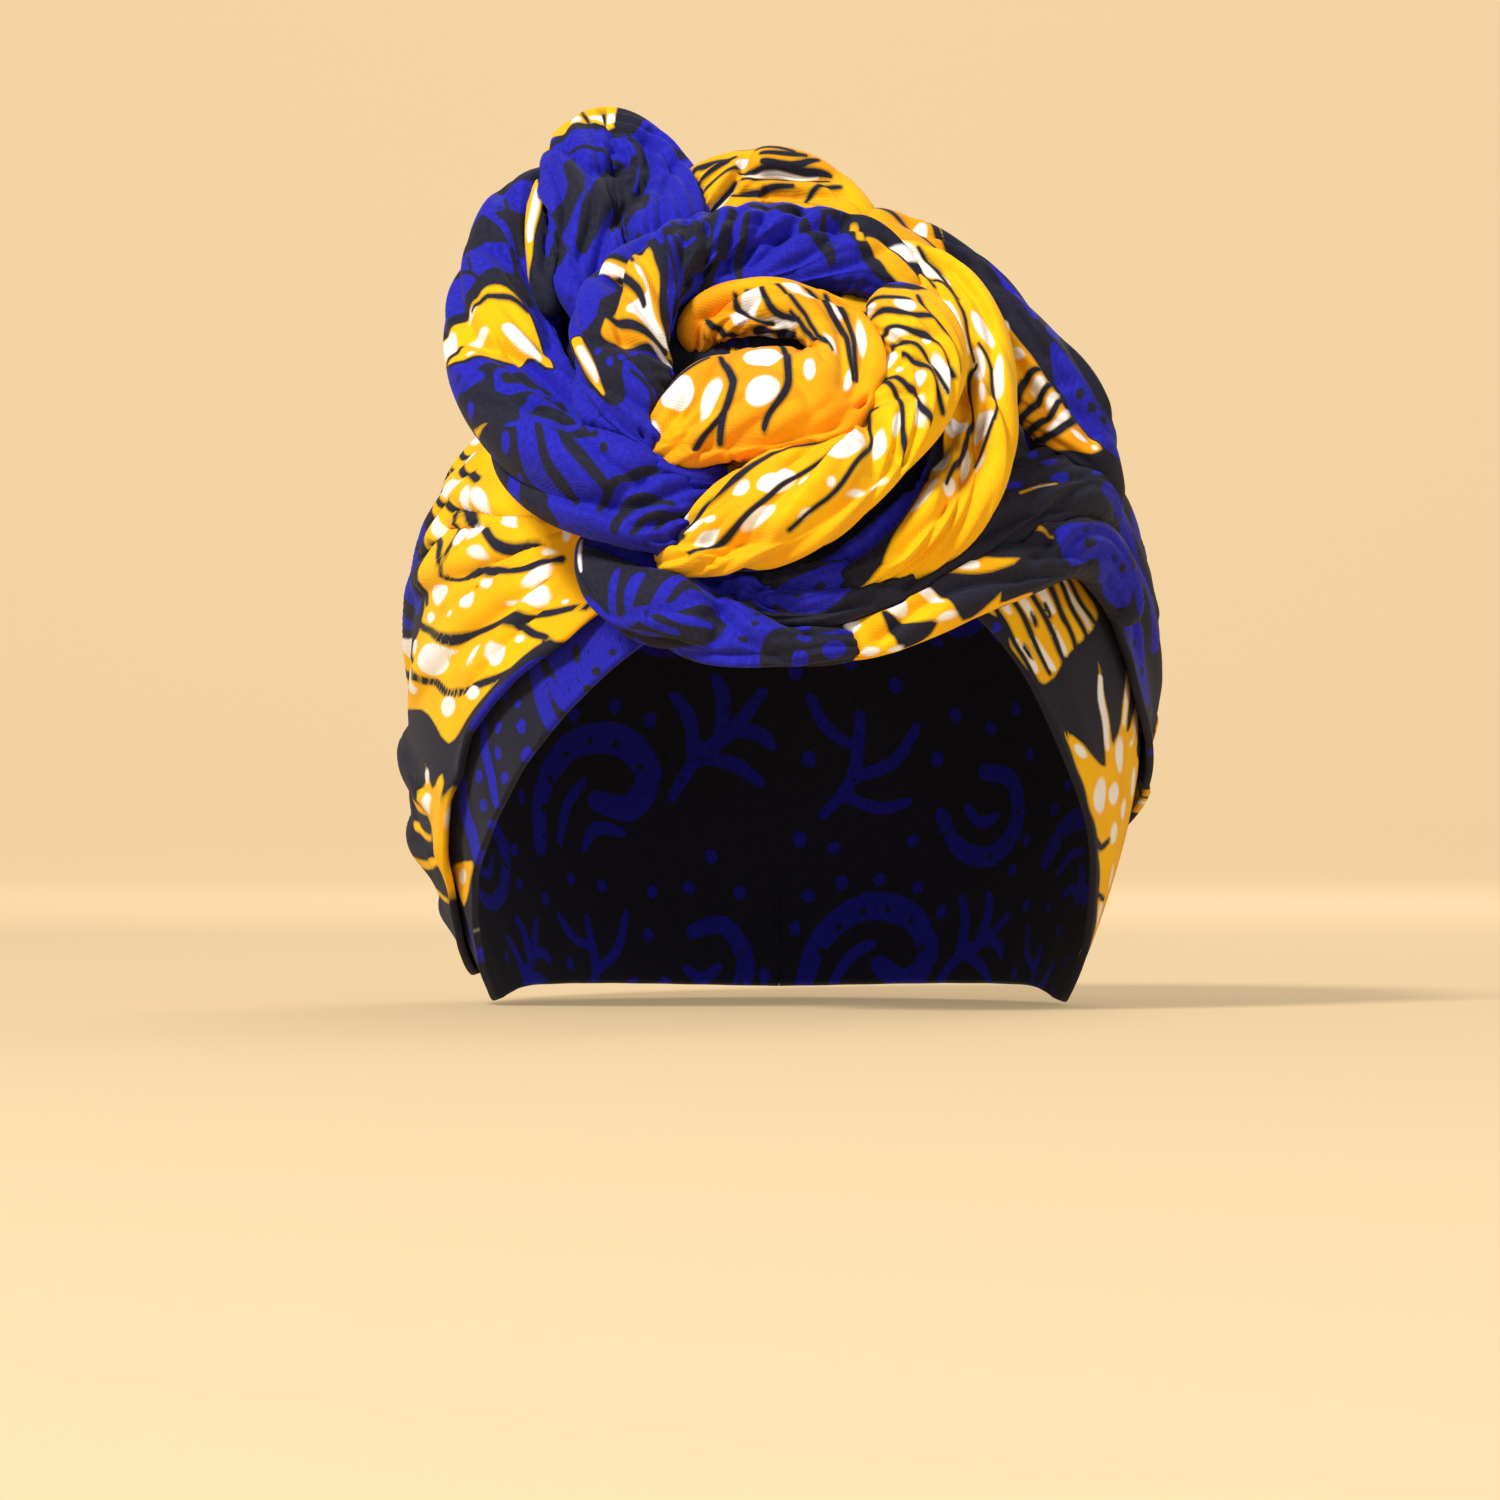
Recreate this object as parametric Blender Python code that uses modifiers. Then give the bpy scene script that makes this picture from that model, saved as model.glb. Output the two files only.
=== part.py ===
"""Rosette turban head wrap: a fitted cap, a wide cloth wound over it, and twisted tails coiled into a rosette.

Axes: +Z up. The wearer faces -Y, so +X is the right of the front view.
The origin is the inside of the crown, where the wrap sits on the head.
Tables and sizes are in millimetres, and MM turns them into metres.
"""

import math
from collections import namedtuple

import bmesh
import bpy
from mathutils import Vector

MM = 0.001
GAP = 0.4  # clear space between cloths that press on each other

# Head shell: the plan is an ellipse, widest at the ears, full above and drawn in towards the nape.
WIDEST_Z = -90.0
LOWEST_Z = -152.0
FRONT_FULLNESS = 2.8  # 2 would be a round crown, more is squarer in the shoulders
BACK_FULLNESS = 2.3
NAPE_TAPER = 0.165
NAPE_POWER = 1.6
BACK_TAPER = 1.5  # the back draws in this much more than the sides

CAP_WALL = 1.6
CAP_HALF_WIDTH = 84.8
CAP_HALF_DEPTH = 98.0

WRAP_WALL = 1.8
WRAP_LIFT = CAP_WALL + 0.9  # the wrap's inner face clears the cap's outer face
WRAP_CROWN_Z = WRAP_LIFT + 2.5

SHELL_COLUMNS = 56
CAP_ROWS = 11
WRAP_ROWS = 13

# Rosette seat: the surface that the coils rest on. It leans back, bends round the brow like the head
# does, and curls back over the crown.
SEAT_FRONT_Y = -111.0
SEAT_FOOT_Z = -60.0
SEAT_LEAN = math.radians(25)
SEAT_HALF_WIDTH = 93.0
SEAT_BEND_DEPTH = 105.0
SEAT_CROWN_CURL = 90.0

COIL_SIDES = 12
COIL_SECTION_STEP = 9.5  # distance between sections along a coil
FEWEST_SECTIONS = 6
FINE_STEPS = 12  # points between two stations that the sections are picked from

Colour = namedtuple("Colour", "name rgb roughness")
NAVY = Colour("night_cloth", (0.013, 0.014, 0.032), 0.85)
BLUE = Colour("blue_cloth", (0.03, 0.03, 0.62), 0.85)
GOLD = Colour("gold_cloth", (0.95, 0.42, 0.01), 0.85)

Rim = namedtuple("Rim", "azimuth_deg z")
# Lower edge of the cap, round from behind the wearer's right ear (-180) to the left (+180), 0 at the brow.
CAP_RIM = [
    Rim(-180, -150), Rim(-120, -149), Rim(-92, -152), Rim(-82, -147),
    Rim(-72, -136), Rim(-64, -123), Rim(-54, -110), Rim(-43, -94),
    Rim(-31, -78), Rim(-23, -69), Rim(-12, -58), Rim(0, -52),
    Rim(14, -52), Rim(30, -59), Rim(40, -72), Rim(51, -94),
    Rim(61, -111), Rim(70, -127), Rim(80, -142), Rim(90, -152),
    Rim(120, -149), Rim(180, -150),
]
# Lower edge of the outer wrap: low over the right ear, drawn up over the left one.
WRAP_RIM = [
    Rim(-180, -136), Rim(-125, -140), Rim(-95, -146), Rim(-80, -139),
    Rim(-74, -130), Rim(-68, -118), Rim(-63, -108), Rim(-58, -98),
    Rim(-52, -87), Rim(-44, -77), Rim(-36, -69), Rim(-28, -60),
    Rim(-15, -50), Rim(20, -46), Rim(50, -46), Rim(58, -56),
    Rim(66, -70), Rim(78, -88), Rim(95, -103), Rim(125, -122),
    Rim(180, -136),
]

Ridge = namedtuple("Ridge", "azimuth z to_azimuth to_z width height")
# Soft folds that stand out of the wrap.
WRAP_RIDGES = [
    # gathers that fan out from the pinch beside the brow
    Ridge(-43, -38, -88, -34, 6.0, 2.6),
    Ridge(-41, -44, -84, -62, 6.5, 3.2),
    Ridge(-40, -50, -74, -88, 6.0, 2.6),
    # the rolled front edge over the right ear
    Ridge(-30, -60, -58, -96, 3.5, 1.6),
    Ridge(-60, -100, -72, -122, 5.0, 2.4),
    # fingers of cloth that bulge over the right ear
    Ridge(-112, -84, -78, -98, 7.0, 3.0),
    Ridge(-114, -104, -80, -117, 7.0, 4.6),
    Ridge(-112, -122, -86, -133, 5.0, 2.4),
    # the cloth drawn up into the bulge over the left brow
    Ridge(56, -34, 68, -66, 6.0, 3.2),
    Ridge(70, -28, 88, -66, 6.5, 3.4),
    Ridge(84, -30, 112, -84, 7.0, 2.6),
    # pleats drawn together at the nape
    Ridge(-118, -40, -160, -132, 9.0, 3.0),
    Ridge(-146, -34, -170, -132, 9.0, 3.0),
    Ridge(180, -30, 180, -132, 9.0, 3.0),
    Ridge(146, -34, 170, -132, 9.0, 3.0),
    Ridge(120, -40, 160, -130, 9.0, 3.0),
]

Station = namedtuple("Station", "x z lift half_width half_depth turn_deg")
Coil = namedtuple("Coil", "name colour lobes fold_depth stations")
# Every tail and roll of the rosette, the topmost first. x and z are seen from the front; lift is the
# distance of its middle from the seat; turn_deg is how far the cloth has twisted.
COILS = [
    Coil("coil_front", GOLD, 3, 0.16, [
        Station(-21.5, -52.0, 22, 3.5, 4, 0),
        Station(-14.0, -45.5, 28, 8.4, 8, 25),
        Station(-2.5, -36.0, 34, 12.2, 11, 60),
        Station(9.5, -28.0, 36, 11.4, 11, 110),
        Station(19.0, -21.0, 36, 9.4, 10, 150),
        Station(28.2, -14.5, 35, 10.6, 10, 190),
        Station(33.5, -4.5, 32, 10.8, 10, 230),
        Station(30.5, 5.8, 27, 9.6, 9, 270),
        Station(24.5, 12.0, 22, 5.0, 5, 300),
    ]),
    Coil("coil_centre", GOLD, 3, 0.14, [
        Station(-20.0, -2.0, 14, 3.0, 4, 0),
        Station(-16.0, 4.6, 20, 5.6, 6, 30),
        Station(-7.0, 9.8, 26, 7.0, 7, 70),
        Station(4.4, 8.0, 30, 8.2, 8, 110),
        Station(11.4, -1.5, 31, 9.6, 9, 150),
        Station(7.0, -11.5, 32, 10.6, 10, 190),
        Station(-5.5, -15.0, 32, 10.8, 10, 230),
        Station(-17.5, -17.0, 30, 9.6, 9, 260),
        Station(-27.5, -20.0, 26, 4.0, 5, 290),
    ]),
    Coil("coil_left", BLUE, 3, 0.16, [
        Station(-48.5, 38.5, 14, 7.0, 7, 0),
        Station(-58.8, 32.0, 18, 11.0, 11, 30),
        Station(-66.4, 17.0, 22, 12.0, 12, 70),
        Station(-65.6, 1.5, 25, 13.8, 13, 110),
        Station(-61.0, -13.5, 27, 14.0, 13, 150),
        Station(-51.5, -26.5, 28, 13.4, 13, 190),
        Station(-37.0, -34.5, 26, 11.4, 12, 230),
        Station(-20.0, -38.5, 20, 8.4, 9, 270),
        Station(-6.0, -39.0, 12, 4.0, 4, 300),
    ]),
    Coil("coil_upper", BLUE, 4, 0.16, [
        Station(30.0, 15.0, 16, 5.0, 5, 0),
        Station(17.0, 22.6, 20, 10.2, 9, 30),
        Station(0.0, 24.4, 22, 10.2, 10, 70),
        Station(-16.0, 22.6, 25, 9.8, 10, 110),
        Station(-28.0, 17.2, 29, 10.4, 11, 150),
        Station(-34.8, 8.0, 32, 11.4, 11, 190),
        Station(-37.2, -3.5, 33, 11.2, 11, 230),
        Station(-34.5, -14.0, 32, 9.4, 10, 265),
        Station(-27.0, -22.5, 28, 6.4, 7, 290),
        Station(-14.0, -26.5, 22, 3.0, 4, 310),
    ]),
    Coil("coil_right", GOLD, 3, 0.14, [
        Station(24.0, 24.6, 10, 4.0, 4, 0),
        Station(34.5, 18.0, 16, 7.4, 7, 30),
        Station(43.0, 6.6, 21, 7.8, 9, 70),
        Station(47.2, -7.5, 23, 7.2, 10, 110),
        Station(46.5, -22.0, 23, 7.8, 10, 150),
        Station(39.5, -35.0, 22, 8.8, 10, 190),
        Station(29.0, -45.0, 20, 7.8, 9, 230),
        Station(18.5, -51.5, 16, 3.5, 5, 260),
    ]),
    Coil("knot_loop", BLUE, 3, 0.14, [
        Station(-41.0, 6.0, 14, 4.5, 5, 0),
        Station(-43.6, 18.0, 20, 7.8, 8, 30),
        Station(-45.4, 32.0, 23, 9.4, 9, 60),
        Station(-46.0, 45.5, 20, 8.8, 9, 100),
        Station(-37.2, 52.6, 16, 7.4, 9, 140),
        Station(-28.2, 44.0, 15, 8.2, 9, 180),
        Station(-27.4, 32.0, 14, 7.4, 8, 210),
        Station(-31.0, 23.0, 12, 4.5, 5, 230),
    ]),
    Coil("knot_tail", GOLD, 2, 0.12, [
        Station(-50.5, 46.5, 24, 3.0, 3, 0),
        Station(-53.8, 39.5, 27, 4.6, 4, 20),
        Station(-55.6, 29.0, 28, 4.8, 4, 40),
        Station(-55.8, 18.0, 27, 3.6, 4, 60),
        Station(-54.8, 9.0, 25, 2.0, 3, 80),
    ]),
    Coil("top_fold", GOLD, 2, 0.14, [
        Station(-25.0, 28.0, 6, 4.5, 5, 0),
        Station(-17.5, 37.4, 9, 8.0, 8, 30),
        Station(-4.5, 42.2, 10, 9.0, 9, 60),
        Station(8.0, 38.4, 9, 8.2, 8, 90),
        Station(16.5, 30.0, 6, 4.5, 5, 120),
    ]),
    Coil("coil_outer", NAVY, 3, 0.14, [
        Station(15.5, 29.5, 5, 4.5, 5, 0),
        Station(29.0, 24.8, 8, 7.6, 8, 30),
        Station(42.4, 15.4, 10, 8.8, 9, 70),
        Station(53.2, 2.4, 12, 9.6, 10, 110),
        Station(61.6, -9.6, 13, 10.2, 10, 150),
        Station(68.6, -18.6, 13, 10.2, 9, 190),
        Station(75.0, -26.5, 9, 7.0, 6, 220),
        Station(79.0, -33.0, 5, 4.0, 4, 240),
    ]),
    Coil("brow_band", NAVY, 3, 0.12, [
        Station(78.0, -37.0, 3, 4.0, 4, 0),
        Station(72.0, -31.5, 8, 7.2, 7, 15),
        Station(63.0, -30.5, 13, 8.8, 8, 30),
        Station(50.0, -36.5, 14, 8.8, 8, 60),
        Station(36.5, -46.0, 14, 7.8, 8, 90),
        Station(22.0, -54.0, 14, 6.8, 8, 120),
        Station(6.0, -58.0, 15, 6.6, 8, 150),
        Station(-9.0, -57.0, 14, 4.0, 5, 180),
    ]),
    Coil("brow_roll_left", BLUE, 3, 0.12, [
        Station(-50.0, -45.0, 5, 5.0, 4, 0),
        Station(-45.0, -49.0, 10, 9.6, 7, 30),
        Station(-35.0, -54.0, 13, 12.0, 9, 60),
        Station(-21.5, -59.0, 14, 12.8, 10, 90),
        Station(-6.0, -63.5, 13, 10.8, 9, 120),
        Station(8.0, -67.5, 10, 6.6, 7, 150),
        Station(18.0, -69.5, 7, 2.8, 3, 170),
    ]),
    Coil("brow_roll_right", GOLD, 3, 0.12, [
        Station(11.0, -67.5, 6, 5.0, 4, 0),
        Station(20.5, -62.5, 9, 9.8, 7, 30),
        Station(35.0, -56.5, 11, 11.2, 8, 55),
        Station(50.5, -48.5, 11, 11.2, 8, 80),
        Station(63.0, -43.5, 10, 10.0, 8, 110),
        Station(72.0, -46.5, 7, 7.2, 7, 140),
        Station(78.0, -53.0, 4, 5.4, 5, 160),
        Station(82.0, -62.0, 1, 3.4, 3, 170),
    ]),
]

# The crossed tails that fill the rosette from behind.
KNOT_CENTRE = (-6.0, -8.0)
KNOT_HALF_WIDTH = 54.0
KNOT_HALF_HEIGHT = 48.0
KNOT_FRONT_DEPTH = 15.0
KNOT_BACK_DEPTH = 60.0
KNOT_BACK_DROP = 18.0
KNOT_GAP = 1.3
KNOT_SEGMENTS = 28
KNOT_RINGS = 15


def eased(start, end, slope_in, slope_out, t):
    """Value between two ends that leaves and arrives at these slopes, at share t of the way."""
    value = start * (2 * t**3 - 3 * t**2 + 1) + end * (3 * t**2 - 2 * t**3)
    return value + slope_in * (t**3 - 2 * t**2 + t) + slope_out * (t**3 - t**2)


def rim_z(rim, azimuth):
    """Height of a rim at this azimuth, on a smooth curve through the table's rows."""
    last = len(rim) - 1
    i = max(k for k in range(last) if rim[k].azimuth_deg <= azimuth)
    start, end = rim[i], rim[i + 1]
    span = end.azimuth_deg - start.azimuth_deg
    before, after = rim[max(0, i - 1)], rim[min(last, i + 2)]
    slope_in = (end.z - before.z) / (end.azimuth_deg - before.azimuth_deg) * span
    slope_out = (after.z - start.z) / (after.azimuth_deg - start.azimuth_deg) * span
    return eased(start.z, end.z, slope_in, slope_out, (azimuth - start.azimuth_deg) / span)


def towards_back(azimuth):
    """0 at the brow, 1 at the nape."""
    return (1 - math.cos(math.radians(azimuth))) / 2


def fullness(azimuth):
    """How square the crown's shoulder is on this side."""
    return FRONT_FULLNESS + (BACK_FULLNESS - FRONT_FULLNESS) * towards_back(azimuth) ** 2


def shell_point(azimuth, z, lift, crown_z):
    """Point of the head shell, lift outside the cap's inner face, under a crown of this height."""
    if z >= WIDEST_Z:
        height = min(1.0, (z - WIDEST_Z) / (crown_z - WIDEST_Z))
        share = (1 - height ** fullness(azimuth)) ** (1 / fullness(azimuth))
    else:
        taper = NAPE_TAPER * (1 + (BACK_TAPER - 1) * towards_back(azimuth))
        share = 1 - taper * ((WIDEST_Z - z) / (WIDEST_Z - LOWEST_Z)) ** NAPE_POWER
    angle = math.radians(azimuth)
    across = (CAP_HALF_WIDTH + lift) * share * math.sin(angle)
    return Vector((across, -(CAP_HALF_DEPTH + lift) * share * math.cos(angle), z))


def arc_gap(azimuth, other):
    """Signed difference of two azimuths, in degrees, the short way round."""
    return (azimuth - other + 180) % 360 - 180


def ridge_height(azimuth, z):
    """How far the wrap's folds lift it at this place: the highest of the ridges near it."""
    mm_per_degree = math.radians(CAP_HALF_WIDTH)
    highest = 0.0
    for ridge in WRAP_RIDGES:
        run = Vector((arc_gap(ridge.to_azimuth, ridge.azimuth) * mm_per_degree, ridge.to_z - ridge.z))
        here = Vector((arc_gap(azimuth, ridge.azimuth) * mm_per_degree, z - ridge.z))
        along = max(0.0, min(1.0, here.dot(run) / run.length_squared))
        away = (here - run * along).length
        ends = min(1.0, 4 * along + 0.3, 4 * (1 - along) + 0.3)
        highest = max(highest, ridge.height * ends * math.exp(-((away / ridge.width) ** 2)))
    return highest


def row_z(share, azimuth, crown_z, lowest_z):
    """Height of the row this share of the way down the shell from its crown to its rim."""
    quarter = math.pi / 2
    if lowest_z <= WIDEST_Z:
        total = quarter + (WIDEST_Z - lowest_z) / CAP_HALF_WIDTH
    else:
        height = (lowest_z - WIDEST_Z) / (crown_z - WIDEST_Z)
        total = math.acos(height ** (fullness(azimuth) / 2))
    turned = share * total
    if turned <= quarter:
        return WIDEST_Z + (crown_z - WIDEST_Z) * math.cos(turned) ** (2 / fullness(azimuth))
    return WIDEST_Z - (turned - quarter) * CAP_HALF_WIDTH


def finished(name, bm):
    """Mesh made from a bmesh, with its faces turned outwards."""
    bmesh.ops.recalc_face_normals(bm, faces=bm.faces)
    mesh = bpy.data.meshes.new(name)
    bm.to_mesh(mesh)
    bm.free()
    return mesh


def shell_mesh(name, rim, lift, crown_z, rows, folded):
    """Open dome from crown to rim, standing lift outside the cap's inner face."""
    bm = bmesh.new()
    apex = bm.verts.new((0, 0, crown_z * MM))
    rings = []
    for row in range(1, rows + 1):
        ring = []
        for column in range(SHELL_COLUMNS):
            azimuth = -180 + 360 * column / SHELL_COLUMNS
            z = row_z(row / rows, azimuth, crown_z, rim_z(rim, azimuth))
            raised = ridge_height(azimuth, z) if folded else 0.0
            ring.append(bm.verts.new(shell_point(azimuth, z, lift + raised, crown_z) * MM))
        rings.append(ring)
    for column in range(SHELL_COLUMNS):
        beside = (column + 1) % SHELL_COLUMNS
        bm.faces.new((apex, rings[0][column], rings[0][beside]))
        for upper, lower in zip(rings, rings[1:]):
            bm.faces.new((upper[column], lower[column], lower[beside], upper[beside]))
    return finished(name, bm)


def clear_of_wrap(point, gap):
    """The point, pressed out from the head's middle to this gap if it would lie nearer the wrap."""
    azimuth = math.degrees(math.atan2(point.x / CAP_HALF_WIDTH, -point.y / CAP_HALF_DEPTH))
    lift = WRAP_LIFT + WRAP_WALL + ridge_height(azimuth, point.z) + gap
    across = math.hypot(point.x / (CAP_HALF_WIDTH + lift), point.y / (CAP_HALF_DEPTH + lift))
    up = max(0.0, point.z - WIDEST_Z) / (WRAP_CROWN_Z + WRAP_WALL + gap - WIDEST_Z)
    power = fullness(azimuth)
    level = (across**power + up**power) ** (1 / power)
    middle = Vector((0, 0, WIDEST_Z))
    return point if level >= 1 else middle + (point - middle) / level


def seat_y(x, z):
    """Depth of the seat that the rosette's coils rest on."""
    lean = (z - SEAT_FOOT_Z) * math.tan(SEAT_LEAN)
    bend = SEAT_BEND_DEPTH * (1 - math.sqrt(max(0.0, 1 - (x / SEAT_HALF_WIDTH) ** 2)))
    return SEAT_FRONT_Y + lean + bend + max(0.0, z) ** 2 / SEAT_CROWN_CURL


def spline(points, per_span):
    """Points on a smooth curve through the given ones, as vectors of any length."""
    count = len(points)
    tangents = []
    for i in range(count):
        before, after = points[max(0, i - 1)], points[min(count - 1, i + 1)]
        tangents.append((after - before) / (2 if 0 < i < count - 1 else 1))
    out = []
    for i in range(count - 1):
        for step in range(per_span):
            out.append(eased(points[i], points[i + 1], tangents[i], tangents[i + 1], step / per_span))
    out.append(points[-1])
    return out


def coil_sections(coil, grow):
    """Centre, half sizes and turn along a coil, evenly spaced."""
    route = [Vector((row.x, seat_y(row.x, row.z) - row.lift, row.z)) for row in coil.stations]
    sizes = [Vector((row.half_width + grow, row.half_depth + grow, row.turn_deg)) for row in coil.stations]
    centres = spline(route, FINE_STEPS)
    values = spline(sizes, FINE_STEPS)
    along = [0.0]
    for start, end in zip(centres, centres[1:]):
        along.append(along[-1] + (end - start).length)
    count = max(FEWEST_SECTIONS, round(along[-1] / COIL_SECTION_STEP))
    picked = []
    for i in range(count + 1):
        wanted = along[-1] * i / count
        nearest = min(range(len(along)), key=lambda k: abs(along[k] - wanted))
        picked.append((centres[nearest], values[nearest]))
    return picked


def fold_shape(coil, angle, turn):
    """Share of the full radius: round crests with a sharp crease between each two."""
    wave = abs(math.cos(coil.lobes * (angle - turn) / 2))
    return 1 - coil.fold_depth * (1 - wave)


def coil_mesh(coil, grow=0.0):
    """Closed, twisted roll of cloth: a loft through its sections, pressed clear of the wrap."""
    picked = coil_sections(coil, grow)
    front = Vector((0, -math.cos(SEAT_LEAN), math.sin(SEAT_LEAN)))
    bm = bmesh.new()
    rings = []
    for i, (centre, (half_width, half_depth, turn_deg)) in enumerate(picked):
        ahead = picked[min(len(picked) - 1, i + 1)][0]
        behind = picked[max(0, i - 1)][0]
        tangent = (ahead - behind).normalized()
        across = tangent.cross(front).normalized()
        out = across.cross(tangent).normalized()
        ring = []
        for side in range(COIL_SIDES):
            angle = 2 * math.pi * side / COIL_SIDES
            share = fold_shape(coil, angle, math.radians(turn_deg))
            point = centre + across * (half_width * share * math.cos(angle))
            point += out * (half_depth * share * math.sin(angle))
            ring.append(bm.verts.new(clear_of_wrap(point, GAP - grow) * MM))
        rings.append(ring)
    for first, second in zip(rings, rings[1:]):
        for side in range(COIL_SIDES):
            beside = (side + 1) % COIL_SIDES
            bm.faces.new((first[side], first[beside], second[beside], second[side]))
    bm.faces.new(rings[0])
    bm.faces.new(rings[-1])
    return finished(coil.name, bm)


def knot_mesh(name):
    """The crossed tails under the coils: a bulb that fills the space down to the wrap."""
    bm = bmesh.new()
    bmesh.ops.create_uvsphere(bm, u_segments=KNOT_SEGMENTS, v_segments=KNOT_RINGS, radius=1)
    for vert in bm.verts:
        x = KNOT_CENTRE[0] + vert.co.x * KNOT_HALF_WIDTH
        z = KNOT_CENTRE[1] + vert.co.z * KNOT_HALF_HEIGHT - max(0.0, vert.co.y) * KNOT_BACK_DROP
        y = seat_y(x, z) + vert.co.y * (KNOT_FRONT_DEPTH if vert.co.y < 0 else KNOT_BACK_DEPTH)
        vert.co = clear_of_wrap(Vector((x, y, z)), KNOT_GAP) * MM
    return finished(name, bm)


def material_for(piece_name, colour):
    """Principled material of one piece, in the print's main colour there."""
    made = bpy.data.materials.new(f"{piece_name}_{colour.name}")
    made.use_nodes = True
    shader = made.node_tree.nodes["Principled BSDF"]
    shader.inputs["Base Color"].default_value = (*colour.rgb, 1)
    shader.inputs["Roughness"].default_value = colour.roughness
    shader.inputs["Metallic"].default_value = 0
    return made


def add_object(name, mesh, collection, colour=None):
    made = bpy.data.objects.new(name, mesh)
    collection.objects.link(made)
    if colour:
        mesh.materials.append(material_for(name, colour))
    mesh.shade_smooth()
    mesh.set_sharp_from_angle(angle=math.radians(40))
    return made


def add_wall(obj, thickness):
    """Gives an open cloth its thickness, outwards."""
    wall = obj.modifiers.new("wall", "SOLIDIFY")
    wall.thickness = thickness * MM
    wall.offset = 1.0


def boxes_meet(first, second):
    """Whether the boxes round two meshes overlap."""
    spans = []
    for mesh in (first, second):
        coordinates = [v.co for v in mesh.vertices]
        spans.append([(min(c[k] for c in coordinates), max(c[k] for c in coordinates)) for k in range(3)])
    return all(a[0] <= b[1] and b[0] <= a[1] for a, b in zip(*spans))


def press(obj, cutters_in_front):
    """Takes the room of each cloth in front out of obj, so that what lies on top keeps its shape."""
    for cutter in cutters_in_front:
        if boxes_meet(obj.data, cutter.data):
            cut = obj.modifiers.new("pressed_by_" + cutter.name, "BOOLEAN")
            cut.operation = "DIFFERENCE"
            cut.object = cutter


def main():
    for old in list(bpy.data.objects):
        bpy.data.objects.remove(old)
    parts = bpy.data.collections.new("rosette_turban")
    cutters = bpy.data.collections.new("cutters")
    for collection in (parts, cutters):
        bpy.context.scene.collection.children.link(collection)

    cap = add_object("cap", shell_mesh("cap", CAP_RIM, 0.0, 0.0, CAP_ROWS, False), parts, NAVY)
    add_wall(cap, CAP_WALL)
    wrap_mesh = shell_mesh("outer_wrap", WRAP_RIM, WRAP_LIFT, WRAP_CROWN_Z, WRAP_ROWS, True)
    wrap = add_object("outer_wrap", wrap_mesh, parts, GOLD)
    add_wall(wrap, WRAP_WALL)

    in_front = []
    for coil in COILS:
        piece = add_object(coil.name, coil_mesh(coil), parts, coil.colour)
        press(piece, in_front)
        room = add_object(coil.name + "_room", coil_mesh(coil, GAP), cutters)
        room.hide_render = True
        room.display_type = "WIRE"
        in_front.append(room)
    knot = add_object("crossing_knot", knot_mesh("crossing_knot"), parts, BLUE)
    press(knot, in_front)


main()
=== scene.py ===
"""Rosette turban head wrap in printed cotton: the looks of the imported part, in the order it is worn.

The tables are in millimetres and degrees, with x and z as seen from the front, and 0 inside the crown.
Azimuths go round the crown from 0 in front, past 90 at the right of the front view, to 180 at the back.
"""

import math

import bmesh
import bpy
import numpy as np
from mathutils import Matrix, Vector
from mathutils.bvhtree import BVHTree


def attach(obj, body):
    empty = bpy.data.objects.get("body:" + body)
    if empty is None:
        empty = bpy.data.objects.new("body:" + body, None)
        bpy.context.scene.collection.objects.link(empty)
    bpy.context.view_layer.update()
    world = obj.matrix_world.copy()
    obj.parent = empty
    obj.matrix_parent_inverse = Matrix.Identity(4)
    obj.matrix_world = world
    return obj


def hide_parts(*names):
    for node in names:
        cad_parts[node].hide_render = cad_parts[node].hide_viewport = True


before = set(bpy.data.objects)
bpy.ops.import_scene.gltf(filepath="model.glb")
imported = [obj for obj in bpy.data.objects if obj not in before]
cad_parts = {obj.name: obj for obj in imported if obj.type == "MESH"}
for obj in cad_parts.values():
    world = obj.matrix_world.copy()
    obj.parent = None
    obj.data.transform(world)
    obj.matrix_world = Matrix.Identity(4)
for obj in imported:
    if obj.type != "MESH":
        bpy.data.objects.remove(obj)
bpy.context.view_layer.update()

# Cap: the fitted under-layer of the same printed cotton, cut to fit and sewn at the back.
# Its turned front edge frames the opening, with a blue spotted strip on one side and a flame leaf on the other.
MM = 0.001
HEAD_HALF_WIDTH = 84.8
HEAD_HALF_DEPTH = 98.0
WIDEST_Z = -90.0
LOWEST_Z = -152.0
FRONT_FULLNESS = 2.8
BACK_FULLNESS = 2.3
NAPE_TAPER = 0.165
NAPE_POWER = 1.6
BACK_TAPER = 1.5
CAP_WALL = 1.6
CAP_RIM = [
    (-180, -150), (-120, -149), (-92, -152), (-82, -147), (-72, -136), (-64, -123), (-54, -110), (-43, -94),
    (-31, -78), (-23, -69), (-12, -58), (0, -52), (14, -52), (30, -59), (40, -72), (51, -94), (61, -111),
    (70, -127), (80, -142), (90, -152), (120, -149), (180, -150),
]
# How the dome's columns and rows are spaced: (place, share of the columns or rows up to it).
CAP_COLUMNS = [(-180, 0.0), (-102, 0.17), (-18, 0.47), (24, 0.55), (104, 0.83), (180, 1.0)]
CAP_ROWS = [(0.0, 0.0), (0.45, 0.14), (1.0, 1.0)]
CAP_GRID = (400, 112)
# Steps of a smooth curve from one row of a table to the next.
STEPS = 24


def eased(start, end, slope_in, slope_out, t):
    """Value between two ends that leaves and arrives at these slopes, at share t of the way."""
    value = start * (2 * t**3 - 3 * t**2 + 1) + end * (3 * t**2 - 2 * t**3)
    return value + slope_in * (t**3 - 2 * t**2 + t) + slope_out * (t**3 - t**2)


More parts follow.
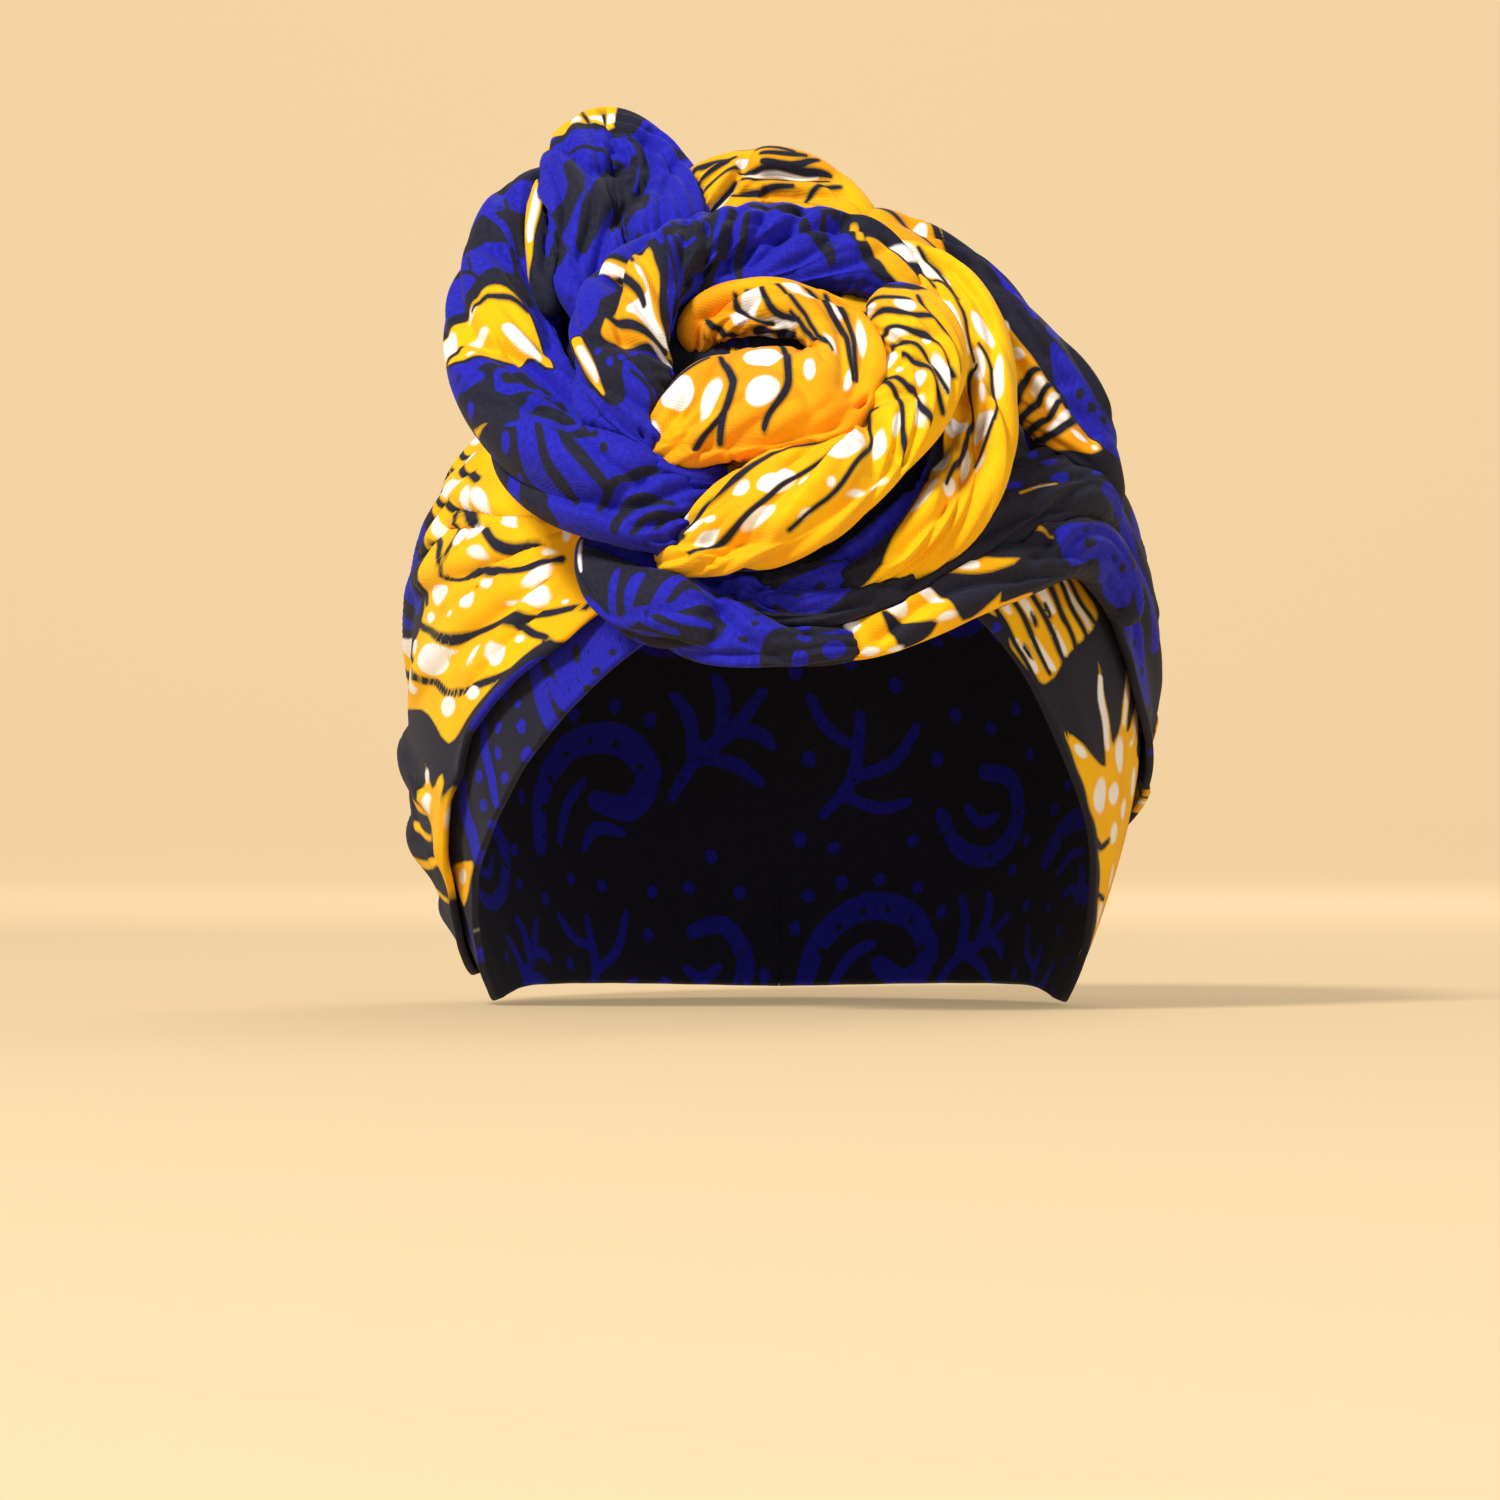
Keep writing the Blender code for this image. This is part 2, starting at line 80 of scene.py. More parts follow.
def rim_heights(rim, azimuth):
    """Height of the rim at each azimuth, on a smooth curve through the table's rows."""
    places, heights = [], []
    last = len(rim) - 1
    for i in range(last):
        before, start, end, after = rim[max(0, i - 1)], rim[i], rim[i + 1], rim[min(last, i + 2)]
        span = end[0] - start[0]
        slope_in = (end[1] - before[1]) / (end[0] - before[0]) * span
        slope_out = (after[1] - start[1]) / (after[0] - start[0]) * span
        for step in range(STEPS):
            places.append(start[0] + span * step / STEPS)
            heights.append(eased(start[1], end[1], slope_in, slope_out, step / STEPS))
    return np.interp(azimuth, places + [rim[-1][0]], heights + [rim[-1][1]])


def towards_back(azimuth):
    """0 in front, 1 at the back."""
    return (1 - np.cos(np.radians(azimuth))) / 2


def fullness(azimuth):
    """How square the crown's shoulder is on each side."""
    return FRONT_FULLNESS + (BACK_FULLNESS - FRONT_FULLNESS) * towards_back(azimuth) ** 2


def shell_points(azimuth, z, lift, crown_z):
    """Points of the shell that the layers follow, lift outside the cap's inner face."""
    height = np.clip((z - WIDEST_Z) / (crown_z - WIDEST_Z), 0, 1)
    upper = (1 - height ** fullness(azimuth)) ** (1 / fullness(azimuth))
    below = np.clip((WIDEST_Z - z) / (WIDEST_Z - LOWEST_Z), 0, None)
    taper = NAPE_TAPER * (1 + (BACK_TAPER - 1) * towards_back(azimuth))
    share = np.where(z >= WIDEST_Z, upper, 1 - taper * below**NAPE_POWER)
    across = (HEAD_HALF_WIDTH + lift) * share * np.sin(np.radians(azimuth))
    along = -(HEAD_HALF_DEPTH + lift) * share * np.cos(np.radians(azimuth))
    return np.stack([across, along, z], axis=1)


def row_heights(share, azimuth, crown_z, lowest_z):
    """Height of the point this share of the way down the shell from its crown to its rim."""
    quarter = math.pi / 2
    level = np.clip((lowest_z - WIDEST_Z) / (crown_z - WIDEST_Z), 0, 1)
    total = np.where(
        lowest_z <= WIDEST_Z,
        quarter + (WIDEST_Z - lowest_z) / HEAD_HALF_WIDTH,
        np.arccos(level ** (fullness(azimuth) / 2)),
    )
    turned = share * total
    dome = np.clip(np.cos(np.minimum(turned, quarter)), 0, 1) ** (2 / fullness(azimuth))
    return np.where(turned <= quarter, WIDEST_Z + (crown_z - WIDEST_Z) * dome,
                    WIDEST_Z - (turned - quarter) * HEAD_HALF_WIDTH)


def cloth_grid(name, columns, rows, place):
    """Mesh from a flat grid: place(across, down) puts its points, and its edges are sewn where they meet.

    place also gives each point's spot on the print and how far behind the front zone it lies."""
    bm = bmesh.new()
    bmesh.ops.create_grid(bm, x_segments=columns, y_segments=rows, size=1)
    flat = np.array([vert.co[:2] for vert in bm.verts])
    points, *on_print = place((flat[:, 0] + 1) / 2, (1 - flat[:, 1]) / 2)
    for vert, point in zip(bm.verts, points * MM):
        vert.co = point
    for name_of_layer, values in zip(("print_x", "print_z", "print_behind"), on_print):
        layer = bm.verts.layers.float.new(name_of_layer)
        for vert, value in zip(bm.verts, values):
            vert[layer] = value
    bmesh.ops.remove_doubles(bm, verts=bm.verts, dist=1e-6)
    bmesh.ops.recalc_face_normals(bm, faces=bm.faces)
    mesh = bpy.data.meshes.new(name)
    bm.to_mesh(mesh)
    bm.free()
    made = bpy.data.objects.new(name, mesh)
    bpy.context.scene.collection.objects.link(made)
    mesh.shade_smooth()
    return made


FLAT_TO_AZIMUTH = 60.0
FRONT_ZONE_AZIMUTH = 101.0
FRONT_ZONE_TURN = 5.0
FRONT_ZONE_TOP_Z = -15.0
BACK_VIEW_TILT = math.radians(40)
BACK_RADIUS = 94.0


def front_spread(azimuth, points):
    """Where the dome's points fall on the print: as seen from the front, drawn out flat round the sides."""
    limit = FLAT_TO_AZIMUTH
    radius = np.hypot(points[:, 0], points[:, 1] * HEAD_HALF_WIDTH / HEAD_HALF_DEPTH)
    bent = np.sin(np.radians(np.clip(azimuth, -limit, limit)))
    beyond = np.radians(np.abs(azimuth) - limit).clip(0) * np.sign(azimuth) * math.cos(math.radians(limit))
    return radius * (bent + beyond)


def behind_front_zone(azimuth, z):
    """How far a point of the dome lies behind the edge where the front layers of cloth end, in mm."""
    past_side = np.abs(azimuth + FRONT_ZONE_TURN) - FRONT_ZONE_AZIMUTH - 5 * np.sin(z / 15)
    past_top = z - FRONT_ZONE_TOP_Z + 3 * np.sin(azimuth / 9)
    return np.maximum(past_side * math.radians(HEAD_HALF_WIDTH), past_top * 1.5)


def back_spread(points):
    """Where the dome's points fall on the repeat: distances on the dome from the back of the crown."""
    seen_from = np.array([0, math.cos(BACK_VIEW_TILT), math.sin(BACK_VIEW_TILT)])
    outwards = points - np.array([0, 0, WIDEST_Z])
    outwards /= np.linalg.norm(outwards, axis=1)[:, None]
    towards = outwards @ seen_from
    aside = outwards - towards[:, None] * seen_from
    aside /= np.linalg.norm(aside, axis=1)[:, None] + 1e-9
    distance = BACK_RADIUS * np.arccos(towards.clip(-1, 1))
    return distance * aside[:, 0], distance * (aside[:, 2] * seen_from[1] - aside[:, 1] * seen_from[2])


def values_of(mesh, name):
    """A float attribute of the mesh's points, as an array."""
    values = np.zeros(len(mesh.vertices), np.float32)
    mesh.attributes[name].data.foreach_get("value", values)
    return values.astype(float)


def coordinates(mesh):
    """The mesh's points as an array, in metres."""
    points = np.zeros(len(mesh.vertices) * 3, np.float32)
    mesh.vertices.foreach_get("co", points)
    return points.reshape(-1, 3).astype(float)


def smooth_line(points, closed):
    """The points with two more between each pair, on a smooth curve."""
    points = np.array(points, float)
    count = len(points)
    if closed:
        before, after = np.roll(points, 1, 0), np.roll(points, -1, 0)
    else:
        here = np.arange(count)
        before, after = points[np.maximum(here - 1, 0)], points[np.minimum(here + 1, count - 1)]
    tangents = (after - before) / 2
    out = []
    for i in range(count if closed else count - 1):
        beside = (i + 1) % count
        for t in (0, 1 / 3, 2 / 3):
            out.append(eased(points[i], points[beside], tangents[i], tangents[beside], t))
    return np.array(out + [out[0] if closed else points[-1]])


def line_distance(x, z, points, half_width):
    """Distance from a brush line that thins towards its ends, below 0 inside it."""
    path = smooth_line(points, False)
    nearest = np.full(x.shape, 1e3)
    last = len(path) - 1
    for i in range(last):
        (x0, z0), (dx, dz) = path[i], path[i + 1] - path[i]
        share = (((x - x0) * dx + (z - z0) * dz) / (dx * dx + dz * dz)).clip(0, 1)
        width = half_width * (0.72 + 0.28 * np.sin(math.pi * (i + share) / last))
        nearest = np.minimum(nearest, np.hypot(x - x0 - share * dx, z - z0 - share * dz) - width)
    return nearest


def area_distance(x, z, points):
    """Distance from the edge of a closed shape, below 0 inside it."""
    path = smooth_line(points, True)
    nearest = np.full(x.shape, 1e3)
    inside = np.zeros(x.shape, bool)
    for (x0, z0), (x1, z1) in zip(path, path[1:]):
        dx, dz = x1 - x0, z1 - z0
        share = (((x - x0) * dx + (z - z0) * dz) / (dx * dx + dz * dz + 1e-9)).clip(0, 1)
        nearest = np.minimum(nearest, np.hypot(x - x0 - share * dx, z - z0 - share * dz))
        if z0 != z1:
            inside ^= ((z0 > z) != (z1 > z)) & (x < (z - z0) / dz * dx + x0)
    return np.where(inside, -nearest, nearest)


def spot_distance(x, z, at_x, at_z, half_width, half_height, turn=0):
    """Distance from an oval, below 0 inside it."""
    turned = math.radians(turn)
    along = (x - at_x) * math.cos(turned) + (z - at_z) * math.sin(turned)
    up = (z - at_z) * math.cos(turned) - (x - at_x) * math.sin(turned)
    return (np.hypot(along / half_width, up / half_height) - 1) * min(half_width, half_height)


DYES = ("night", "blue", "gold", "white")
PRINT_TILE_WIDE = 88.0
PRINT_TILE_HIGH = 96.0
PRINT_OVERLAP = 3.0
HAND_WOBBLE = 0.22
FAR_FROM_SHAPE = 10.0
FAR_FROM_ALL = 60.0
KEPT_DISTANCE = 9.0
# Each row of a print is a dye, a kind and its shapes, printed in turn. A line is a half width and its points.
# An area is its points. A spot is x, z, half width, half height and, where it leans, a turn.
# The print's own repeat runs over the parts that the front view hides: blue curls and a veined gold leaf.
PRINT_CURLS = [
    ("blue", "lines", (4, (8, 62), (14, 76), (28, 85), (44, 83), (52, 73), (45, 65), (34, 69))),
    ("night", "spots", (13.5, 72, 1.2, 1.4), (19, 79, 1.2, 1.4), (26.5, 83.5, 1.3, 1.3),
     (35, 84.6, 1.3, 1.3), (43.5, 82, 1.3, 1.3), (49.4, 75, 1.2, 1.3)),
    ("blue", "lines", (1.8, (17, 61), (23, 70), (31, 75)), (1.8, (26, 57), (32, 62), (41, 59)),
     (1.9, (58, 66), (66, 75), (76, 81), (84, 90)), (1.9, (65, 74), (65, 84), (61, 91)),
     (1.9, (72, 79), (74, 88), (72, 94)), (1.8, (67, 75), (76, 73), (83, 68)),
     (1.8, (76, 81), (83, 80), (86, 77))),
    ("blue", "spots", (5, 78, 1.9, 2.4), (9, 87, 2.1, 2), (19, 91, 2, 2.2), (31, 92.6, 2.1, 1.8),
     (44, 91.6, 1.9, 2.1), (54, 86, 1.9, 2.2), (6, 6, 2, 2.3), (16, 4, 2, 1.8), (80, 7, 2.1, 2),
     (83, 17, 1.9, 2.3), (4, 47, 1.9, 2.3)),
]
PRINT_LEAF = [
    ("gold", "areas",
     ((6, 24), (14, 12), (28, 5), (46, 5), (60, 12), (70, 22), (78, 34), (84, 48), (74, 46), (70, 52),
      (60, 56), (54, 50), (46, 57), (36, 57), (32, 50), (22, 53), (14, 46), (14, 36))),
    ("night", "lines", (1.3, (4, 23), (24, 23), (44, 27), (62, 34), (80, 47)),
     (1, (23, 23), (21, 36), (25, 52)), (1, (34, 25), (34, 40), (39, 56)),
     (1, (45, 27.6), (47, 40), (54, 53)), (1, (56, 32), (61, 42), (68, 51)),
     (1, (20, 22.6), (27, 14), (36, 6)), (1, (34, 25), (42, 15), (50, 7)),
     (1, (48, 28.6), (56, 20), (64, 15)), (1, (61, 34), (67, 28), (72, 26))),
    ("white", "spots", (14.6, 28, 2.8, 2.4), (16.6, 40, 1.8, 3), (27.6, 31, 3, 3.8), (28.6, 44, 2.6, 4),
     (40, 34, 3, 3.8), (42.6, 47.6, 2.6, 4, -15), (52.4, 38, 2.8, 3.6, -15), (58.6, 49, 2.2, 3, -20),
     (65, 42, 2.2, 2.6), (18, 16, 3, 2, 40), (30, 14.6, 3, 3), (43, 20, 2.8, 2.6), (46, 10, 2.8, 2),
     (57, 26, 2.6, 2.6), (56, 14.6, 2, 1.6, 30), (66.4, 22.4, 2.4, 1.8, 40), (72, 36, 2.6, 2, 45)),
]
# Smaller curls and sprigs, which take the leaf's place on the cap.
PRINT_SPRIGS = [
    ("blue", "lines", (3, (48, 16), (57, 8), (70, 9), (77, 20), (71, 31), (60, 30))),
    ("night", "spots", (52, 12.4, 1.1, 1.1), (60, 7.8, 1.1, 1.1), (69, 8.6, 1.1, 1.1), (75, 15, 1.1, 1.1),
     (76, 23.6, 1.1, 1.1)),
    ("blue", "lines", (1.7, (56, 20), (62, 16.6), (68, 20)), (1.7, (12, 12), (20, 22), (21, 38)),
     (1.7, (20, 22), (31, 27), (37, 37)), (1.6, (17, 18), (28, 15), (37, 18)),
     (1.6, (19, 30), (12, 34), (8, 41))),
    ("blue", "spots", (8, 26, 1.9, 2.2), (44, 30, 2, 2.2), (48, 42, 2, 2.1), (60, 42, 2.1, 1.9),
     (30, 46, 2, 2.1), (76, 40, 2, 2.2), (40, 8, 2, 1.9), (18, 50, 1.9, 2), (68, 50, 2, 2)),
]


def dye(fields, colour, distance):
    """Prints a shape over what is there: it joins its own colour and is taken out of the others.

    White is the bare cloth, which shows through whatever colour lies round it."""
    for name in DYES:
        if name == colour:
            fields[name] = np.minimum(fields[name], distance)
        elif colour != "white":
            fields[name] = np.maximum(fields[name], -distance)


def shape_distance(x, z, kind, shape):
    """Distance from a line, an area or a spot, below 0 inside it."""
    if kind == "lines":
        return line_distance(x, z, shape[1:], shape[0])
    if kind == "areas":
        return area_distance(x, z, shape)
    return spot_distance(x, z, *shape)


def stamp(fields, x, z, rows):
    """Prints the rows in their order. Points far from a shape take one large distance from it."""
    for colour, kind, *shapes in rows:
        for shape in shapes:
            if kind == "spots":
                outline = np.array([shape[:2]]) + max(shape[2:4]) * np.array([[-1, -1], [1, 1]])
            else:
                outline = np.array(shape[1:] if kind == "lines" else shape, float)
            low, high = outline.min(0) - FAR_FROM_SHAPE, outline.max(0) + FAR_FROM_SHAPE
            near = (x > low[0]) & (x < high[0]) & (z > low[1]) & (z < high[1])
            distance = np.full(x.shape, FAR_FROM_SHAPE)
            distance[near] = shape_distance(x[near], z[near], kind, shape)
            dye(fields, colour, distance)


def cut_short(mesh):
    """Cuts each four-sided face along its shorter diagonal, which keeps thin printed lines even."""
    bm = bmesh.new()
    bm.from_mesh(mesh)
    bmesh.ops.triangulate(bm, faces=bm.faces, quad_method="SHORT_EDGE")
    bm.to_mesh(mesh)
    bm.free()


def plain_ground(count, colour):
    """Distances from each dye's edge, for this many points that all lie well inside one colour."""
    return {name: np.full(count, -FAR_FROM_ALL if name == colour else FAR_FROM_ALL) for name in DYES}


def print_cloth(obj, ground, rows, repeat_rows, tile_place=None):
    """Prints a piece: its own rows on a plain ground where it shows in front, the repeat behind that."""
    mesh = obj.data
    cut_short(mesh)
    x, z, behind = (values_of(mesh, name) for name in ("print_x", "print_z", "print_behind"))
    wobble_x = HAND_WOBBLE * np.sin(0.52 * z + 1.1 * np.sin(0.31 * x))
    wobble_z = HAND_WOBBLE * np.sin(0.47 * x + 1.2 * np.sin(0.29 * z))
    x, z = x + wobble_x, z + wobble_z
    fields = plain_ground(len(x), ground)
    stamp(fields, x, z, rows)
    along, up = tile_place(coordinates(mesh) / MM) if tile_place else (x, z)
    repeat = behind > -PRINT_OVERLAP
    at_edge = behind[repeat]
    column = np.floor(along[repeat] / PRINT_TILE_WIDE)
    tile_up = (up[repeat] + (column % 2) * PRINT_TILE_HIGH / 2) % PRINT_TILE_HIGH
    tile = plain_ground(len(column), "night")
    stamp(tile, along[repeat] % PRINT_TILE_WIDE, tile_up, repeat_rows)
    for name in DYES:
        in_front = np.maximum(fields[name][repeat], at_edge)
        fields[name][repeat] = np.minimum(in_front, np.maximum(tile[name], -at_edge))
        kept = fields[name].clip(-KEPT_DISTANCE, KEPT_DISTANCE)
        attribute = mesh.attributes.new(f"dye_{name}", "FLOAT", "POINT")
        attribute.data.foreach_set("value", kept.astype(np.float32))
    corner_points = np.zeros(len(mesh.loops), np.int32)
    mesh.loops.foreach_get("vertex_index", corner_points)
    spots = np.stack([along, up] if tile_place else [x, z], axis=1) * MM
    mesh.uv_layers.new(name="print").data.foreach_set("uv", spots[corner_points].ravel())


# The orange serves both random cloudy tone in the gold and painted shade, drawn further on the pieces that lie
# in shade.
YELLOW, ORANGE_TONE_AND_SHADE, GOLD_EDGE = (1.0, 0.56, 0.0, 1), (0.9, 0.32, 0.003, 1), (0.16, 0.11, 0.004, 1)
BLUE, DEEP_BLUE, BLUE_SPECK = (0.016, 0.015, 0.44, 1), (0.011, 0.011, 0.34, 1), (0.006, 0.007, 0.11, 1)
NIGHT, WORN_NIGHT = (0.01, 0.01, 0.024, 1), (0.018, 0.018, 0.036, 1)
WHITE, STAINED_WHITE = (0.93, 0.92, 0.9, 1), (0.95, 0.75, 0.3, 1)
DYE_BLUR = 0.14
GOLD_OUTLINE = (0.3, 0.55)
WHITE_BLEED = (-0.45, 0.2)
THREAD_SCALE = 620
THREAD_RELIEF = 0.00025


def printed_cotton(name, painted_shade_orange):
    """Plain-woven cotton in the wax print's dyes. Its second argument, 0 to 1, is how far its gold leans to
    orange: painted shade, set high on the pieces that lie in shade.
    """
    made = bpy.data.materials.new(name)
    made.use_nodes = True
    tree = made.node_tree
    shader = tree.nodes["Principled BSDF"]

    def node(kind, **settings):
        new = tree.nodes.new(kind)
        for key, value in settings.items():
            setattr(new, key, value)
        return new

    def link(source, target):
        tree.links.new(source, target)

    def scaled(source, low, high, start, end):
        new = node("ShaderNodeMapRange", interpolation_type="SMOOTHSTEP")
        link(source, new.inputs["Value"])
        for key, value in (("From Min", low), ("From Max", high), ("To Min", start), ("To Max", end)):
            new.inputs[key].default_value = value
        return new.outputs["Result"]

    def mixed(share, first, second):
        new = node("ShaderNodeMix", data_type="RGBA")
        for socket, value in zip((new.inputs[0], new.inputs[6], new.inputs[7]), (share, first, second)):
            if isinstance(value, bpy.types.NodeSocket):
                link(value, socket)
            else:
                socket.default_value = value
        return new.outputs[2]

    def textured(new, vector, **sockets):
        link(vector, new.inputs["Vector"])
        for key, value in sockets.items():
            new.inputs[key].default_value = value
        return new.outputs

    def combined(operation, first, second):
        new = node("ShaderNodeMath", operation=operation)
        link(first, new.inputs[0])
        link(second, new.inputs[1])
        return new.outputs[0]

    dyed = {}
    for colour in DYES:
        dyed[colour] = node("ShaderNodeAttribute", attribute_name=f"dye_{colour}").outputs["Fac"]
    place = node("ShaderNodeTexCoord").outputs["Object"]
    on_print = node("ShaderNodeUVMap", uv_map="print").outputs["UV"]
    cloudy = textured(node("ShaderNodeTexNoise"), place, Scale=55, Detail=3)["Fac"]
    mottled = textured(node("ShaderNodeTexNoise"), on_print, Scale=900, Detail=4)["Fac"]
    specks = textured(node("ShaderNodeTexVoronoi"), on_print, Scale=150)["Distance"]

    # Painted shade: the gold leans to orange round each piece's own lean, which is set high on the pieces that
    # lie in shade, and drifts from it in random cloudy patches.
    gold = mixed(scaled(cloudy, 0.3, 0.7, max(0.0, painted_shade_orange - 0.25), min(1.0, painted_shade_orange + 0.25)), YELLOW, ORANGE_TONE_AND_SHADE)
    gold = mixed(scaled(dyed["night"], 0.0, 0.7, 0.75, 0.0), gold, GOLD_EDGE)
    worn = scaled(mottled, 0.35, 0.7, 0.0, 1.0)
    blue = mixed(scaled(specks, 0.1, 0.15, 0.8, 0.0), mixed(worn, BLUE, DEEP_BLUE), BLUE_SPECK)
    night = mixed(worn, NIGHT, WORN_NIGHT)
    white = mixed(scaled(mottled, 0.5, 0.72, 0.0, 0.3), WHITE, STAINED_WHITE)

    colour = mixed(scaled(dyed["blue"], -DYE_BLUR, DYE_BLUR, 1.0, 0.0), night, blue)
    colour = mixed(scaled(dyed["gold"], *GOLD_OUTLINE, 1.0, 0.0), colour, night)
    colour = mixed(scaled(dyed["gold"], -DYE_BLUR, DYE_BLUR, 1.0, 0.0), colour, gold)
    colour = mixed(scaled(dyed["white"], *WHITE_BLEED, 1.0, 0.0), colour, white)
    link(colour, shader.inputs["Base Color"])

    threads = []
    for direction in ("X", "Y"):
        wave = node("ShaderNodeTexWave", bands_direction=direction)
        threads.append(textured(wave, on_print, Scale=THREAD_SCALE, Distortion=1.5)["Fac"])
    bump = node("ShaderNodeBump")
    bump.inputs["Strength"].default_value = 0.35
    bump.inputs["Distance"].default_value = THREAD_RELIEF
    link(combined("ADD", combined("MULTIPLY", *threads), mottled), bump.inputs["Height"])
    link(bump.outputs["Normal"], shader.inputs["Normal"])
    link(scaled(mottled, 0.3, 0.7, 0.74, 0.9), shader.inputs["Roughness"])
    shader.inputs["Specular IOR Level"].default_value = 0.2
    shader.inputs["Sheen Weight"].default_value = 0.04
    shader.inputs["Sheen Roughness"].default_value = 0.5
    return made


def dress(obj, node, painted_shade_orange=0.3):
    """Gives a finished piece its material and its body, and hides the CAD node that it stands for."""
    obj.data.materials.append(printed_cotton(f"{obj.name}_cotton", painted_shade_orange))
    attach(obj, "root")
    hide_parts(node)


def add_wall(obj, thickness):
    """Gives an open cloth its thickness, outwards."""
    wall = obj.modifiers.new("wall", "SOLIDIFY")
    wall.thickness = thickness * MM
    wall.offset = 1.0


def spaced(table, share):
    """Reads a (place, share) table the other way round."""
    return np.interp(share, [row[1] for row in table], [row[0] for row in table])


HEM_WIDTH = 2.2
HEM_THICKNESS = 0.25
PUCKER_HEIGHT = 0.35
PUCKER_ABOVE_RIM = 9


def place_cap(across, down):
    """Lays the cap's flat cloth on the shell, with a turned hem and a slight pucker above it."""
    azimuth = spaced(CAP_COLUMNS, across)
    share = spaced(CAP_ROWS, down)
    rim = rim_heights(CAP_RIM, azimuth)
    z = row_heights(share, azimuth, 0.0, rim)
    hem = HEM_THICKNESS * np.exp(-(((z - rim) / HEM_WIDTH) ** 2))
    near_rim = np.exp(-(((z - rim - PUCKER_ABOVE_RIM) / PUCKER_ABOVE_RIM) ** 2))
    pucker = PUCKER_HEIGHT * np.sin(azimuth * 0.55 + z * 0.12) * near_rim
    points = shell_points(azimuth, z, hem + pucker, 0.0)
    return points, front_spread(azimuth, points), z, behind_front_zone(azimuth, z)


